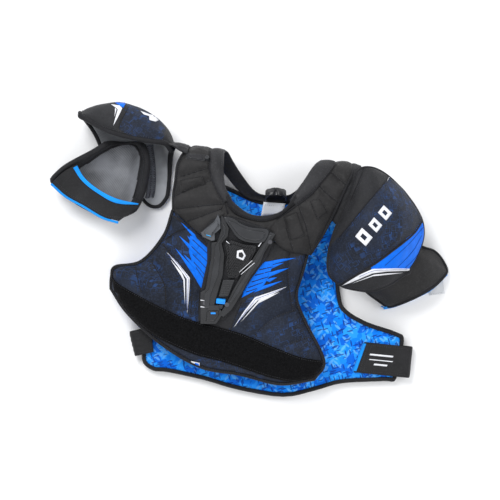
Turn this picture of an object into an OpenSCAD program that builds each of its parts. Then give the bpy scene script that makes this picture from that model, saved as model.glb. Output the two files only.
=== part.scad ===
// Ice hockey shoulder pads laid out on their back.
// X runs across the chest, Y towards the neck, Z up from the back panel's resting face.
// Soft layers are shells: each follows a surface given by a small net of control points.

/* [Layers] */
// Thickness of the outer fabric on the pads
cover_t = 2; // [1:0.5:3]
// Thickness of the chest foam
foam_t = 8; // [6:1:9]
// Thickness of the inner lining
liner_t = 2; // [1:0.5:3]
// Thickness of the moulded plates inside caps and arm guards
plate_t = 3; // [2:0.5:4]
// Clear space between neighbouring layers
layer_gap = 0.3; // [0.2:0.1:0.4]

/* [Back panel] */
// Total thickness of the back panel
back_t = 18; // [16:1:20]
// Width of the edge binding
binding_w = 8; // [6:1:10]
// Width of the plate over the spine
spine_w = 70; // [50:5:90]
// Length of the plate over the spine
spine_l = 210; // [150:10:230]

/* [Shoulder fold] */
// Height of the fold's axis above the floor
fold_z = 52; // [50:1:54]
// Outer radius of the front pads round the fold
front_r = 50; // [49:0.5:50]
// Outer radius of the back pads under them
back_r = 42; // [40:0.5:42]
// Tilt of the fold line, high on the wearer's right
fold_tilt = 6; // [5:0.5:7]

/* [Breast frame] */
// Slope of the plane that the frame is moulded to
frame_slope = 10; // [9:0.5:11]
// Thickness of the frame's legs
frame_t = 5; // [4:0.5:6]
// Radius of each rivet's shank
rivet_r = 2; // [1.5:0.5:2.5]

/* [Waist straps] */
// Thickness of the elastic
strap_t = 3; // [2:0.5:3]
// Radius of the fold in each strap
strap_fold_r = 11.5; // [11:0.5:12]

/* [Hidden] */
$fn = 48;
fold_at = [0, 193, fold_z];
frame_at = [-90, 40, 96];
tube_sides = 8;
back_soft = 4;
spine_t = 3;

// Chest, from the yoke seam down to the hem, from the wearer's right to left
chest_net = [
    [[-186, 142, 80], [-157, 115, 88], [-125, 90, 95], [-86, 93, 100],
     [-36, 100, 100], [13, 79, 97], [58, 72, 84]],
    [[-203, 97, 70], [-172, 76, 82], [-130, 51, 90], [-86, 44, 93],
     [-40, 44, 94], [10, 36, 91], [48, 33, 78]],
    [[-244, 52, 50], [-203, 34, 68], [-154, 13, 80], [-99, 1, 86],
     [-43, -6, 87], [3, -10, 85], [37, -12, 71]],
    [[-293, 41, 34], [-227, 13, 58], [-165, -16, 73], [-104, -33, 80],
     [-47, -46, 81], [7, -53, 77], [52, -56, 64]],
    [[-301, 23, 28], [-241, -15, 50], [-176, -47, 64], [-115, -68, 72],
     [-54, -86, 73], [16, -111, 67], [86, -128, 56]],
    [[-303, 1, 24], [-269, -44, 40], [-210, -96, 52], [-137, -139, 55],
     [-65, -153, 55], [7, -170, 55], [68, -161, 55]]
];

// Cap on the wearer's left, from the shoulder to the flange, from the neck side outwards
right_cap_net = [
    [[143, 212, 92], [156, 220, 88], [178, 218, 82], [203, 204, 74], [229, 180, 66]],
    [[133, 183, 100], [153, 185, 114], [181, 177, 120], [214, 160, 106], [250, 153, 62]],
    [[119, 146, 104], [142, 145, 128], [176, 140, 138], [218, 128, 120], [265, 124, 58]],
    [[101, 106, 104], [129, 103, 131], [168, 100, 142], [216, 95, 122], [267, 94, 56]],
    [[90, 63, 102], [119, 61, 124], [160, 60, 134], [208, 61, 116], [255, 61, 62]],
    [[93, 26, 98], [122, 24, 112], [160, 28, 120], [202, 37, 106], [241, 40, 74]],
    [[118, 5, 92], [137, 1, 98], [169, -2, 100], [203, 10, 92], [239, 34, 78]]
];

// Arm guard on the wearer's left, from under the cap to the cuff
right_guard_net = [
    [[138, 39, 46], [162, 58, 60], [192, 72, 64], [223, 85, 56], [249, 96, 36]],
    [[149, 16, 40], [175, 32, 58], [206, 47, 63], [240, 61, 54], [267, 79, 26]],
    [[164, -5, 32], [191, 12, 55], [225, 29, 61], [258, 47, 51], [290, 72, 20]],
    [[183, -19, 22], [206, -6, 48], [241, 9, 56], [275, 29, 46], [307, 55, 14]],
    [[205, -35, 12], [224, -28, 36], [257, -13, 44], [291, 7, 36], [319, 32, 10]]
];

// Cap on the wearer's right, lying on its outer face: round the C from the near rim to the far rim
left_cap_net = [
    [[-352, 316, 70], [-314, 291, 86], [-274, 276, 94],
     [-228, 267, 92], [-196, 264, 84], [-184, 250, 68]],
    [[-352, 318, 66], [-318, 311, 78], [-275, 305, 88],
     [-227, 291, 86], [-196, 275, 76], [-183, 257, 62]],
    [[-355, 322, 46], [-324, 333, 48], [-278, 338, 50],
     [-230, 320, 50], [-198, 293, 46], [-183, 263, 40]],
    [[-348, 310, 14], [-319, 322, 9], [-279, 326, 7], [-235, 309, 7], [-205, 282, 9], [-190, 246, 13]],
    [[-330, 282, 4], [-308, 286, 1], [-274, 282, 1], [-235, 264, 1], [-210, 241, 1], [-194, 215, 4]],
    [[-316, 245, 4], [-294, 227, 1], [-264, 197, 1], [-237, 158, 1], [-214, 153, 2], [-198, 171, 4]]
];

// Arm guard on the wearer's right, open side up: from the shoulder end to the cuff
left_guard_net = [
    [[-305, 261, 56], [-295, 265, 34], [-277, 266, 26], [-258, 267, 34], [-242, 261, 58]],
    [[-332, 245, 54], [-321, 240, 28], [-293, 230, 19], [-260, 233, 28], [-233, 234, 58]],
    [[-358, 233, 50], [-345, 218, 24], [-311, 197, 17], [-270, 200, 25], [-235, 205, 55]],
    [[-384, 219, 46], [-369, 197, 20], [-332, 169, 15], [-283, 167, 22], [-242, 175, 50]],
    [[-408, 197, 42], [-392, 177, 18], [-352, 151, 14], [-304, 131, 18], [-257, 143, 44]]
];

// Comfort sleeve that crosses the open side of that guard
left_sleeve_net = [
    [[-359, 226, 60], [-345, 202, 57], [-318, 180, 56], [-285, 164, 58], [-244, 155, 60]],
    [[-383, 213, 58], [-361, 186, 55], [-332, 164, 54], [-296, 142, 56], [-250, 148, 58]],
    [[-405, 194, 53], [-379, 171, 53], [-347, 153, 53], [-313, 133, 53], [-284, 124, 53]]
];

// Back panel's outline, anticlockwise from the wearer's right waist wing
back_outline = [
    [-246, -128], [-227, -149], [-196, -153], [-132, -167], [-69, -185], [14, -198], [74, -186],
    [122, -173], [198, -169], [222, -164], [236, -95], [223, -79], [168, -60], [130, -37],
    [120, -13], [117, 35], [124, 90], [132, 130], [134, 165], [108, 176], [80, 180], [38, 166],
    [-1, 162], [-36, 166], [-80, 186], [-110, 197], [-160, 202], [-170, 164], [-146, 100],
    [-128, 35], [-132, -13], [-146, -43], [-182, -60], [-233, -81]
];

// ---- Curves and surfaces ----

function cubic(a, b, c, d, t) =
    0.5 * (2 * b + (c - a) * t + (2 * a - 5 * b + 4 * c - d) * t * t + (3 * b - a - 3 * c + d) * t * t * t);

// Point at t = 0 to 1 on a smooth open curve through p
function curve(p, t) =
    let (n = len(p) - 1, s = min(floor(t * n), n - 1), f = t * n - s)
    let (a = s > 0 ? p[s - 1] : 2 * p[0] - p[1], d = s + 2 <= n ? p[s + 2] : 2 * p[n] - p[n - 1])
    cubic(a, p[s], p[s + 1], d, f);

// Points of a smooth closed curve through p, k for each span
function loop_curve(p, k) =
    let (n = len(p))
    [for (i = [0:n - 1], j = [0:k - 1])
        cubic(p[(i + n - 1) % n], p[i], p[(i + 1) % n], p[(i + 2) % n], j / k)];

// Points on a surface through a net, over part of it
function patch(net, nu, nv, u0 = 0, u1 = 1, v0 = 0, v1 = 1) =
    let (rows = [for (i = [0:nu]) [for (r = net) curve(r, u0 + (u1 - u0) * i / nu)]])
    [for (j = [0:nv]) [for (i = [0:nu]) curve(rows[i], v0 + (v1 - v0) * j / nv)]];

function unit(v) = v / norm(v);

function normal(g, j, i) =
    let (nv = len(g) - 1, nu = len(g[0]) - 1)
    let (du = g[j][min(i + 1, nu)] - g[j][max(i - 1, 0)], dv = g[min(j + 1, nv)][i] - g[max(j - 1, 0)][i])
    unit(cross(dv, du));

// The grid g moved by d along its own normals
function moved(g, d) =
    [for (j = [0:len(g) - 1]) [for (i = [0:len(g[0]) - 1]) g[j][i] + d * normal(g, j, i)]];

// Part of a grid: columns i0 to i1, rows j0 to j1
function crop(g, i0, i1, j0, j1) = [for (j = [j0:j1]) [for (i = [i0:i1]) g[j][i]]];

// A grid without its outermost m cells
function trim(g, m) = crop(g, m, len(g[0]) - 1 - m, m, len(g) - 1 - m);

// Closed solid between two grids of the same size
module slab(lower, upper) {
    nv = len(lower);
    nu = len(lower[0]);
    n = nu * nv;
    rim = concat(
        [for (i = [0:nu - 2]) i],
        [for (j = [0:nv - 2]) j * nu + nu - 1],
        [for (i = [nu - 1:-1:1]) (nv - 1) * nu + i],
        [for (j = [nv - 1:-1:1]) j * nu]
    );
    k = len(rim);
    faces = concat(
        [for (j = [0:nv - 2], i = [0:nu - 2]) let (a = j * nu + i)
            each [[a, a + nu, a + 1], [a + 1, a + nu, a + nu + 1]]],
        [for (j = [0:nv - 2], i = [0:nu - 2]) let (a = n + j * nu + i)
            each [[a, a + 1, a + nu], [a + 1, a + nu + 1, a + nu]]],
        [for (i = [0:k - 1]) let (a = rim[i], b = rim[(i + 1) % k]) each [[a, b, b + n], [a, b + n, a + n]]]
    );
    polyhedron(concat([for (r = lower) each r], [for (r = upper) each r]), faces);
}

// Layer between the depths lo and hi of a surface, m cells in from its edge
module shell(g, lo, hi, m = 0) {
    slab(trim(moved(g, lo), m), trim(moved(g, hi), m));
}

// Round cord along a list of points; closed joins its ends
module bead(path, r, closed = true) {
    n = len(path);
    function before(i) = closed ? path[(i + n - 1) % n] : path[max(i - 1, 0)];
    function after(i) = closed ? path[(i + 1) % n] : path[min(i + 1, n - 1)];
    rings = [for (i = [0:n - 1])
        let (
            along = unit(after(i) - before(i)),
            side = unit(cross([0, 0, 1], along)),
            up = cross(along, side)
        )
        each [for (k = [0:tube_sides - 1])
            let (a = 360 * k / tube_sides) path[i] + r * (cos(a) * side + sin(a) * up)]];
    walls = [for (i = [0:closed ? n - 1 : n - 2], k = [0:tube_sides - 1])
        let (a = i * tube_sides + k, b = i * tube_sides + (k + 1) % tube_sides, m = n * tube_sides)
        let (c = (a + tube_sides) % m, d = (b + tube_sides) % m)
        each [[a, c, b], [b, c, d]]];
    ends = closed ? [] : [
        [for (k = [0:tube_sides - 1]) k],
        [for (k = [tube_sides - 1:-1:0]) (n - 1) * tube_sides + k]
    ];
    polyhedron(rings, concat(walls, ends));
}

// Outline drawn in by d along its own normals
function inset(p, d) =
    let (n = len(p))
    [for (i = [0:n - 1]) let (t = unit(p[(i + 1) % n] - p[(i + n - 1) % n])) p[i] + d * [-t[1], t[0]]];

// ---- Shoulder fold ----

// Point beside the fold: x across, a in degrees above the +Y side, r from the axis
function fold_point(x, a, r) =
    fold_at + [x * cos(fold_tilt), -x * sin(fold_tilt), 0]
    + r * [cos(a) * sin(fold_tilt), cos(a) * cos(fold_tilt), sin(a)];

// Rows of points round the fold; edges lists [angle, outer x, inner x]
function fold_rows(edges, r, k) =
    [for (e = edges) [for (i = [0:k]) fold_point(e[1] + (e[2] - e[1]) * i / k, e[0], r)]];

// Rows at even angles from a0 to a1, with straight sides from x0 to x1 and from y0 to y1
function fold_strap(a0, a1, x0, x1, y0, y1, r, k, n) =
    fold_rows([for (j = [0:n]) let (t = j / n)
        [a0 + (a1 - a0) * t, x0 + (x1 - x0) * t, y0 + (y1 - y0) * t]], r, k);

left_yoke_front_net = concat([
    [[-185, 144, 82], [-157, 118, 90], [-127, 97, 99], [-103, 117, 104], [-86, 136, 105]],
    [[-184, 170, 90], [-157, 152, 96], [-130, 139, 101], [-107, 146, 104], [-92, 155, 104]],
    [[-180, 192, 98], [-157, 184, 102], [-135, 178, 103], [-120, 180, 103], [-106, 184, 103]]
], fold_rows([[80, -178, -119], [60, -174, -120], [40, -168, -122], [20, -162, -123]], front_r, 4));

right_yoke_front_net = concat([
    [[3, 128, 106], [-7, 112, 104], [17, 86, 102], [57, 77, 90]],
    [[34, 150, 106], [41, 129, 106], [59, 107, 102], [86, 104, 94]],
    [[62, 172, 105], [76, 163, 105], [92, 154, 102], [107, 146, 97]]
], fold_rows([[80, 79, 125], [60, 90, 131], [40, 98, 135], [20, 101, 136]], front_r, 3));

// ---- Back panel ----

module back_layer(d, z0, z1) {
    translate([0, 0, z0])
        linear_extrude(z1 - z0)
            polygon(inset(loop_curve(back_outline, 3), d));
}

module back_cover() {
    color("#12161f")
        back_layer(binding_w + layer_gap, 0, back_soft);
}

module spine_pocket(grow, z0, z1) {
    translate([-spine_w / 2 - grow, -140 - grow, z0])
        cube([spine_w + 2 * grow, spine_l + 2 * grow, z1 - z0]);
}

module back_foam() {
    color("#3a3d45")
        difference() {
            back_layer(binding_w + layer_gap, back_soft + layer_gap, back_t - back_soft - layer_gap);
            spine_pocket(0.3, 0, 7 + spine_t + 0.4);
        }
}

module spine_plate() {
    color("#1b1d22")
        spine_pocket(0, 7.2, 7.2 + spine_t);
}

module back_liner() {
    color("#1f7fe0")
        back_layer(binding_w + layer_gap, back_t - back_soft, back_t);
}

module back_binding() {
    color("#0b0c0f")
        linear_extrude(back_t)
            difference() {
                polygon(loop_curve(back_outline, 3));
                polygon(inset(loop_curve(back_outline, 3), binding_w));
            }
}

back_collar_net = [
    [[-85, 246, 46], [-65, 216, 36], [-43, 186, 26], [-25, 175, 24],
     [-1, 173, 24], [26, 175, 24], [48, 192, 28], [76, 216, 40]],
    [[-86, 220, 30], [-75, 200, 24], [-52, 180, 22], [-30, 171, 22],
     [-1, 168, 22], [32, 171, 22], [55, 186, 24], [80, 205, 32]],
    [[-90, 206, 24], [-80, 190, 22], [-58, 175, 21], [-36, 166, 21],
     [-1, 163, 21], [38, 167, 21], [62, 181, 22], [84, 196, 27]]
];

module back_collar() {
    color("#17181c")
        shell(patch(back_collar_net, 20, 3), -2.5, 0);
}

module hang_loop() {
    color("#050507")
        translate([0, 171, 27])
            rotate([60, 0, 0])
                linear_extrude(16, center = true)
                    difference() {
                        circle(19);
                        circle(17);
                        translate([-30, -60])
                            square([60, 60]);
                    }
}

module neck_label() {
    color("#f2f3f5")
        translate([0, 0, back_t + 0.1])
            linear_extrude(0.8)
                polygon([[-22, 158], [18, 158], [13, 140], [-27, 134]]);
}

// ---- Shoulder pads ----

module left_yoke_back() {
    color("#101216")
        shell(fold_strap(44, -88, -165, -170, -100, -98, back_r, 4, 13), 0, 8);
}

module right_yoke_back() {
    color("#101216")
        shell(fold_strap(44, -88, 84, 86, 132, 134, back_r, 4, 13), 0, 8);
}

module left_yoke_front() {
    color("#101216")
        shell(patch(left_yoke_front_net, 6, 12), 0, 6);
}

module right_yoke_front() {
    color("#101216")
        shell(patch(right_yoke_front_net, 6, 12), 0, 6);
}

left_collar_net = concat([
    [[-87, 157, 105], [-79, 163, 104]],
    [[-103, 184, 104], [-90, 184, 104]]
], fold_rows([[80, -118, -95], [60, -119, -96], [40, -121, -97], [20, -122, -98]], front_r, 1));

right_collar_net = concat([
    [[23, 160, 105], [33, 151, 106]],
    [[33, 175, 105], [60, 173, 105]]
], fold_rows([[80, 48, 78], [60, 56, 89], [40, 64, 97], [20, 71, 100]], front_r, 1));

module left_collar_front() {
    color("#1b1c20")
        shell(patch(left_collar_net, 3, 12), 0, 4);
}

module right_collar_front() {
    color("#1b1c20")
        shell(patch(right_collar_net, 3, 12), 0, 4);
}

neck_net = [
    [[-80, 162, 105], [-68, 150, 107], [-49, 137, 108], [-28, 134, 108],
     [-6, 136, 108], [10, 143, 108], [23, 157, 106]],
    [[-85, 146, 106], [-72, 134, 108], [-51, 126, 109], [-28, 123, 109],
     [-6, 127, 109], [8, 134, 109], [22, 146, 107]]
];

module neck_binding() {
    color("#0d0e11")
        shell(patch(neck_net, 16, 2), -4, 0);
}

module shoulder_tab() {
    color("#08090b")
        translate(fold_point(-146, 58, front_r + 1.6))
            rotate([-32, 0, -fold_tilt]) {
                translate([-19, -6, 0])
                    cube([34, 13, 2.5]);
                translate([19, 0, 0])
                    cylinder(r = 4, h = 5);
            }
}

// ---- Chest panel ----

cover_lo = -cover_t;
plate_lo = cover_lo - layer_gap - cover_t;
foam_hi = plate_lo - layer_gap;
foam_lo = foam_hi - foam_t;
chest_grid = patch(chest_net, 14, 11, 0.02, 0.98, 0.02, 0.98);

module chest_cover() {
    color("#0e1522")
        shell(chest_grid, cover_lo, 0);
}

module chest_plate(i0, i1) {
    color("#24262b")
        slab(
            crop(moved(chest_grid, plate_lo), i0, i1, 1, 8),
            crop(moved(chest_grid, cover_lo - layer_gap), i0, i1, 1, 8)
        );
}

module left_chest_plate() {
    chest_plate(1, 6);
}

module right_chest_plate() {
    chest_plate(8, 13);
}

module chest_foam() {
    color("#3a3d45")
        shell(chest_grid, foam_lo, foam_hi);
}

module chest_liner() {
    color("#1d6fd0")
        shell(chest_grid, foam_lo - layer_gap - liner_t, foam_lo - layer_gap);
}

module chest_binding() {
    g = patch(chest_net, 16, 12);
    lowered = [0, 0, -7];
    path = concat(
        [for (j = [0:12]) g[j][0]],
        [for (i = [1:15]) g[12][i]],
        [for (j = [12:-1:0]) g[j][16]]
    );
    color("#0b0c0f")
        bead([for (p = path) p + lowered], 3, false);
}

module waist_loop_band() {
    color("#1c1d1f")
        slab(
            crop(moved(chest_grid, layer_gap), 0, 14, 9, 11),
            crop(moved(chest_grid, layer_gap + 2), 0, 14, 9, 11)
        );
}

module hem_tag() {
    color("#e9edf3")
        shell(patch(chest_net, 2, 1, 0.45, 0.5, 0.93, 0.985), layer_gap + 2.4, layer_gap + 3.1);
}

// ---- Breast frame ----

module on_breast() {
    translate(frame_at)
        rotate([frame_slope, 0, 0])
            children();
}

left_leg = [
    [-24, 44], [-25, 24], [-31, -16], [-38, -36], [-46, -46], [-46, -73],
    [-28, -73], [-25, -60], [-9, -12], [-6, 18], [-12, 36]
];
right_leg = [
    [86, 61], [71, 18], [47, -10], [29, -41], [10, -73], [-8, -73],
    [4, -56], [38, 0], [54, 18], [70, 44], [74, 62]
];
rivet_spots = [[-37, -62], [-16, 20], [78, 48], [2, -65]];

module sternum_frame() {
    color("#16181c")
        on_breast()
            linear_extrude(frame_t)
                difference() {
                    union() {
                        polygon(left_leg);
                        polygon(right_leg);
                        translate([-30, -73])
                            square([24, 5]);
                    }
                    for (p = rivet_spots)
                        translate(p)
                            circle(rivet_r + 0.1);
                }
}

module frame_rivets() {
    color("#9aa0a8")
        on_breast()
            for (p = rivet_spots)
                translate([p[0], p[1], 0]) {
                    cylinder(r = rivet_r, h = frame_t + 0.2);
                    translate([0, 0, frame_t + 0.2])
                        cylinder(r = rivet_r + 2, h = 1.5);
                }
}

module grey_insert() {
    color("#8d9299")
        on_breast()
            linear_extrude(7)
                polygon([[-14, 92], [-43, 60], [-26, 50], [-12, 62], [-3, 84]]);
}

module collar_bar() {
    color("#1e2024")
        on_breast()
            linear_extrude(9)
                polygon(loop_curve([
                    [3, 88], [22, 78], [50, 73], [71, 70],
                    [72, 64], [62, 56], [38, 52], [14, 60]
                ], 3));
}

module sternum_pad() {
    color("#1a1c20")
        on_breast()
            linear_extrude(8)
                polygon([
                    [2, 50], [38, 50], [60, 43], [53, 20], [40, 5],
                    [19, -18], [4, -18], [-3, 10], [-3, 34]
                ]);
}

module sternum_tongue() {
    color("#15171a")
        on_breast()
            linear_extrude(6)
                polygon([[-3, -24], [16, -22], [2, -50], [-13, -50]]);
}

module buckle_tab() {
    color("#2f8df0")
        on_breast()
            translate([-17, -66, 0])
                cube([13, 13, 6.5]);
}

module sternum_buckle() {
    color("#0e0f12")
        on_breast()
            translate([-46, -101, -2])
                difference() {
                    cube([38, 27, 9]);
                    translate([6, 8, 3])
                        cube([26, 11, 9]);
                }
}

// ---- Caps ----

// Depths of a cap's or a guard's layers below its outer face
plate_hi = cover_lo - layer_gap;
shell_lo = plate_hi - plate_t;
lining_hi = shell_lo - layer_gap;
lining_lo = lining_hi - liner_t;

right_cap_grid = patch(right_cap_net, 10, 12);
left_cap_grid = patch(left_cap_net, 12, 10);

module right_cap_cover() {
    color("#0d1320")
        shell(right_cap_grid, cover_lo, 0);
}

module right_cap_plate() {
    color("#26282d")
        shell(right_cap_grid, shell_lo, plate_hi, 1);
}

module right_cap_liner() {
    color("#8b9096")
        shell(right_cap_grid, lining_lo, lining_hi);
}

// This cap's net has its normals on the lining's side
module left_cap_cover() {
    color("#0d1320")
        shell(left_cap_grid, 0, -cover_lo);
}

module left_cap_plate() {
    color("#26282d")
        shell(left_cap_grid, -plate_hi, -shell_lo, 1);
}

module left_cap_liner() {
    color("#8b9096")
        shell(left_cap_grid, -lining_hi, -lining_lo);
}

module left_cap_tab() {
    color("#0a0b0d")
        translate(fold_point(-176, 0, back_r - 4))
            cube([12, 2, 20], center = true);
}

module right_cap_tab() {
    color("#0a0b0d")
        translate(fold_point(138.5, 60, back_r - 4))
            cube([12, 16, 2], center = true);
}

// ---- Arm guards ----

right_guard_grid = patch(right_guard_net, 8, 8);
left_guard_grid = patch(left_guard_net, 8, 8);

module right_guard_cover() {
    color("#101216")
        shell(right_guard_grid, cover_lo, 0);
}

module right_guard_plate() {
    color("#26282d")
        shell(right_guard_grid, shell_lo, plate_hi, 1);
}

module right_guard_liner() {
    color("#8b9096")
        shell(right_guard_grid, lining_lo, lining_hi);
}

right_sleeve_net = [
    [[172, 6, 24], [196, 14, 5], [225, 29, 3], [254, 45, 5], [276, 66, 12]],
    [[187, -12, 15], [208, -6, 5], [238, 9, 3], [268, 28, 5], [293, 51, 8]],
    [[206, -32, 7], [224, -25, 4], [255, -12, 3], [286, 6, 4], [310, 30, 6]]
];

right_cuff = [[199, -36, 4.5], [222, -31, 4], [254, -18, 3], [288, 0, 4], [316, 27, 4.5]];

module right_sleeve() {
    color("#0e1013")
        shell(patch(right_sleeve_net, 8, 4), -1.5, 0);
}

module right_cuff_elastic() {
    color("#2f8df0")
        bead([for (i = [0:8]) curve(right_cuff, i / 8)], 1.5, false);
}

module care_label() {
    color("#e6eaee")
        translate([285, -12, 1])
            rotate([0, 0, 8])
                cube([27, 25, 1]);
}

// This guard lies on its outer face, so its lining is on top
module left_guard_cover() {
    color("#101216")
        shell(left_guard_grid, lining_lo, lining_lo + cover_t);
}

module left_guard_plate() {
    color("#26282d")
        shell(
            left_guard_grid,
            lining_lo + cover_t + layer_gap,
            lining_lo + cover_t + layer_gap + plate_t,
            1
        );
}

module left_guard_liner() {
    color("#9a9fa5")
        shell(left_guard_grid, -liner_t, 0);
}

module left_sleeve() {
    color("#0e1013")
        shell(patch(left_sleeve_net, 10, 4), -2, 0);
}

module left_sleeve_elastic() {
    color("#2f8df0")
        shell(patch(left_sleeve_net, 10, 1, 0.02, 0.98, 0, 0.18), layer_gap, 1.5);
}

module left_cuff_elastic() {
    color("#2f8df0")
        bead([for (i = [0:10]) curve(left_sleeve_net[2], i / 10) + [-1, -3, -1]], 1.6, false);
}

// ---- Waist straps ----

// Strap frame: origin on the fold's axis, x outwards, y along the fold
module at_right_strap() {
    translate([239, -133, 13])
        rotate([0, 0, -6])
            children();
}

module at_left_strap() {
    translate([-254, -98, 13])
        rotate([0, 0, 193])
            children();
}

module folded_strap(length, width, slant) {
    z = strap_fold_r - strap_t;
    translate([0, 0, z])
        linear_extrude(strap_t)
            polygon([
                [0, -width / 2], [0, width / 2],
                [-length, width / 2], [-length - slant, -width / 2]
            ]);
    rotate([90, 0, 0])
        rotate([0, 0, 60])
            translate([0, 0, -width / 2])
                rotate_extrude(angle = 30)
                    translate([z, 0])
                        square([strap_t, width]);
}

module strap_base(width) {
    r = strap_fold_r - strap_t - 0.5;
    rotate([90, 0, 0])
        rotate([0, 0, -90])
            translate([0, 0, -width / 2])
                rotate_extrude(angle = 80)
                    translate([r - strap_t, 0])
                        square([strap_t, width]);
}

module right_strap_base() {
    color("#08090b")
        at_right_strap()
            strap_base(57);
}

module left_strap_base() {
    color("#08090b")
        at_left_strap()
            strap_base(46);
}

module right_waist_strap() {
    color("#0b0c0e")
        at_right_strap()
            folded_strap(82, 57, 14);
}

module left_waist_strap() {
    color("#0b0c0e")
        at_left_strap()
            folded_strap(26, 46, 6);
}

module right_hook_patch() {
    color("#1c1d1f")
        at_right_strap()
            translate([-78, -24, strap_fold_r - strap_t - 1.5])
                cube([34, 48, 1.2]);
}

module right_pull_tab() {
    color("#2f8df0")
        at_right_strap()
            translate([0, 0, strap_fold_r - strap_t])
                linear_extrude(strap_t)
                    polygon([[-83, 28], [-88, 28], [-102, -28], [-97, -28]]);
}

back_cover();
back_foam();
spine_plate();
back_liner();
back_binding();
back_collar();
hang_loop();
neck_label();
left_yoke_back();
right_yoke_back();
left_strap_base();
right_strap_base();
left_cap_tab();
right_cap_tab();
chest_cover();
left_chest_plate();
right_chest_plate();
chest_foam();
chest_liner();
chest_binding();
waist_loop_band();
hem_tag();
left_yoke_front();
right_yoke_front();
left_collar_front();
right_collar_front();
neck_binding();
shoulder_tab();
sternum_frame();
frame_rivets();
grey_insert();
collar_bar();
sternum_pad();
sternum_tongue();
buckle_tab();
sternum_buckle();
left_cap_cover();
left_cap_plate();
left_cap_liner();
right_cap_cover();
right_cap_plate();
right_cap_liner();
left_guard_cover();
left_guard_plate();
left_guard_liner();
left_sleeve();
left_sleeve_elastic();
left_cuff_elastic();
right_guard_cover();
right_guard_plate();
right_guard_liner();
right_sleeve();
right_cuff_elastic();
care_label();
left_waist_strap();
right_waist_strap();
right_hook_patch();
right_pull_tab();
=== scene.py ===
"""Ice hockey shoulder pads, laid out on their back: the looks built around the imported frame."""

import math

import bmesh
import bpy
import numpy as np
from mathutils import Matrix, Vector
from mathutils.bvhtree import BVHTree
from mathutils.geometry import delaunay_2d_cdt

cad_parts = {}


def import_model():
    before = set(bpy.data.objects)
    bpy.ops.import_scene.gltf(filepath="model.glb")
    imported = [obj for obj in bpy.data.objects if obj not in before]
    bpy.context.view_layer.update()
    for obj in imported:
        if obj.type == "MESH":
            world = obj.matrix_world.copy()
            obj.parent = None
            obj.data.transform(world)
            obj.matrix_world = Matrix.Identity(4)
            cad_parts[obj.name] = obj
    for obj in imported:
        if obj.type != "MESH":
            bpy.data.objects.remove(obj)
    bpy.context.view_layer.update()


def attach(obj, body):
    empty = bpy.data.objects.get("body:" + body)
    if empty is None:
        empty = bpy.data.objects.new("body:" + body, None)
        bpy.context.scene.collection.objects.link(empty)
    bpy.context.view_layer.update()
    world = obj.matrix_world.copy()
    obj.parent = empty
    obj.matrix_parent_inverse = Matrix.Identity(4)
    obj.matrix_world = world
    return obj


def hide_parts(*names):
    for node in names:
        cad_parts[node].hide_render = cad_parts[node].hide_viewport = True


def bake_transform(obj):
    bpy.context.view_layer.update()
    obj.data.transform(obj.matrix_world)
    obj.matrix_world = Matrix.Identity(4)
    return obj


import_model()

# All shapes are worked out in millimetres and made in metres. EYE is the camera, PLANE_Z the height of
# the level plane that outlines are drawn on, and FOLD and FOLD_TILT the axis of the shoulder fold
MM = 0.001
EYE = np.array([-47.0, 72.0, 2400.0])
PLANE_Z = 60.0
FOLD = np.array([0.0, 193.0, 52.0])
FOLD_TILT = math.radians(6)

# ---------------------------------------------------------------- curves and surfaces


def between(a, b, c, d, f):
    """The point a share f of the way from b to c, on the smooth curve through all four."""
    return 0.5 * (2 * b + (c - a) * f + (2 * a - 5 * b + 4 * c - d) * f * f
                  + (3 * b - a - 3 * c + d) * f ** 3)


def spline(p, t):
    """Points at t = 0 to 1 on the smooth open curve through p, whose points may be rows of points."""
    p, t = np.asarray(p, float), np.asarray(t, float)
    n = len(p) - 1
    s = np.clip(np.floor(t * n).astype(int), 0, n - 1)
    f = (t * n - s).reshape((-1,) + (1,) * (p.ndim - 1))
    e = np.concatenate([[2 * p[0] - p[1]], p, [2 * p[-1] - p[-2]]])
    a, b, c, d = e[s], e[s + 1], e[s + 2], e[s + 3]
    return between(a, b, c, d, f)


def patch(net, nu, nv, u=(0, 1), v=(0, 1)):
    """A grid of nv + 1 rows and nu + 1 columns on the smooth surface through a net of points."""
    net = np.asarray(net, float)
    rows = spline(net.transpose(1, 0, 2), np.linspace(u[0], u[1], nu + 1)).transpose(1, 0, 2)
    return spline(rows, np.linspace(v[0], v[1], nv + 1))


def unit(v):
    """Vectors scaled to a length of 1."""
    return v / np.maximum(np.linalg.norm(v, axis=-1, keepdims=True), 1e-9)


def normals(g):
    """The normal at each point of a grid."""
    return unit(np.cross(np.gradient(g, axis=0), np.gradient(g, axis=1)))


def loop_curve(p, k):
    """The smooth closed curve through p, with k points for each of its stretches."""
    p = np.asarray(p, float)
    n, out = len(p), []
    for i in range(n):
        a, b, c, d = p[i - 1], p[i], p[(i + 1) % n], p[(i + 2) % n]
        for j in range(k):
            f = j / k
            out.append(between(a, b, c, d, f))
    return np.array(out)


def inset(p, d):
    """A closed outline moved inwards by d; its points go round anticlockwise."""
    t = unit(np.roll(p, -1, 0) - np.roll(p, 1, 0))
    return p + d * np.stack([-t[:, 1], t[:, 0]], 1)


def fold_point(x, angle, r):
    """A point on the shoulder fold: x along its axis, angle in degrees up from level, r from the axis."""
    a, c, s = math.radians(angle), math.cos(FOLD_TILT), math.sin(FOLD_TILT)
    return FOLD + [x * c, -x * s, 0] + r * np.array([math.cos(a) * s, math.cos(a) * c, math.sin(a)])


def fold_rows(edges, k):
    """Rows of points round the shoulder fold; edges lists (angle, outer x, inner x, radius)."""
    return [[fold_point(x0 + (x1 - x0) * i / k, a, r) for i in range(k + 1)] for a, x0, x1, r in edges]


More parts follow.
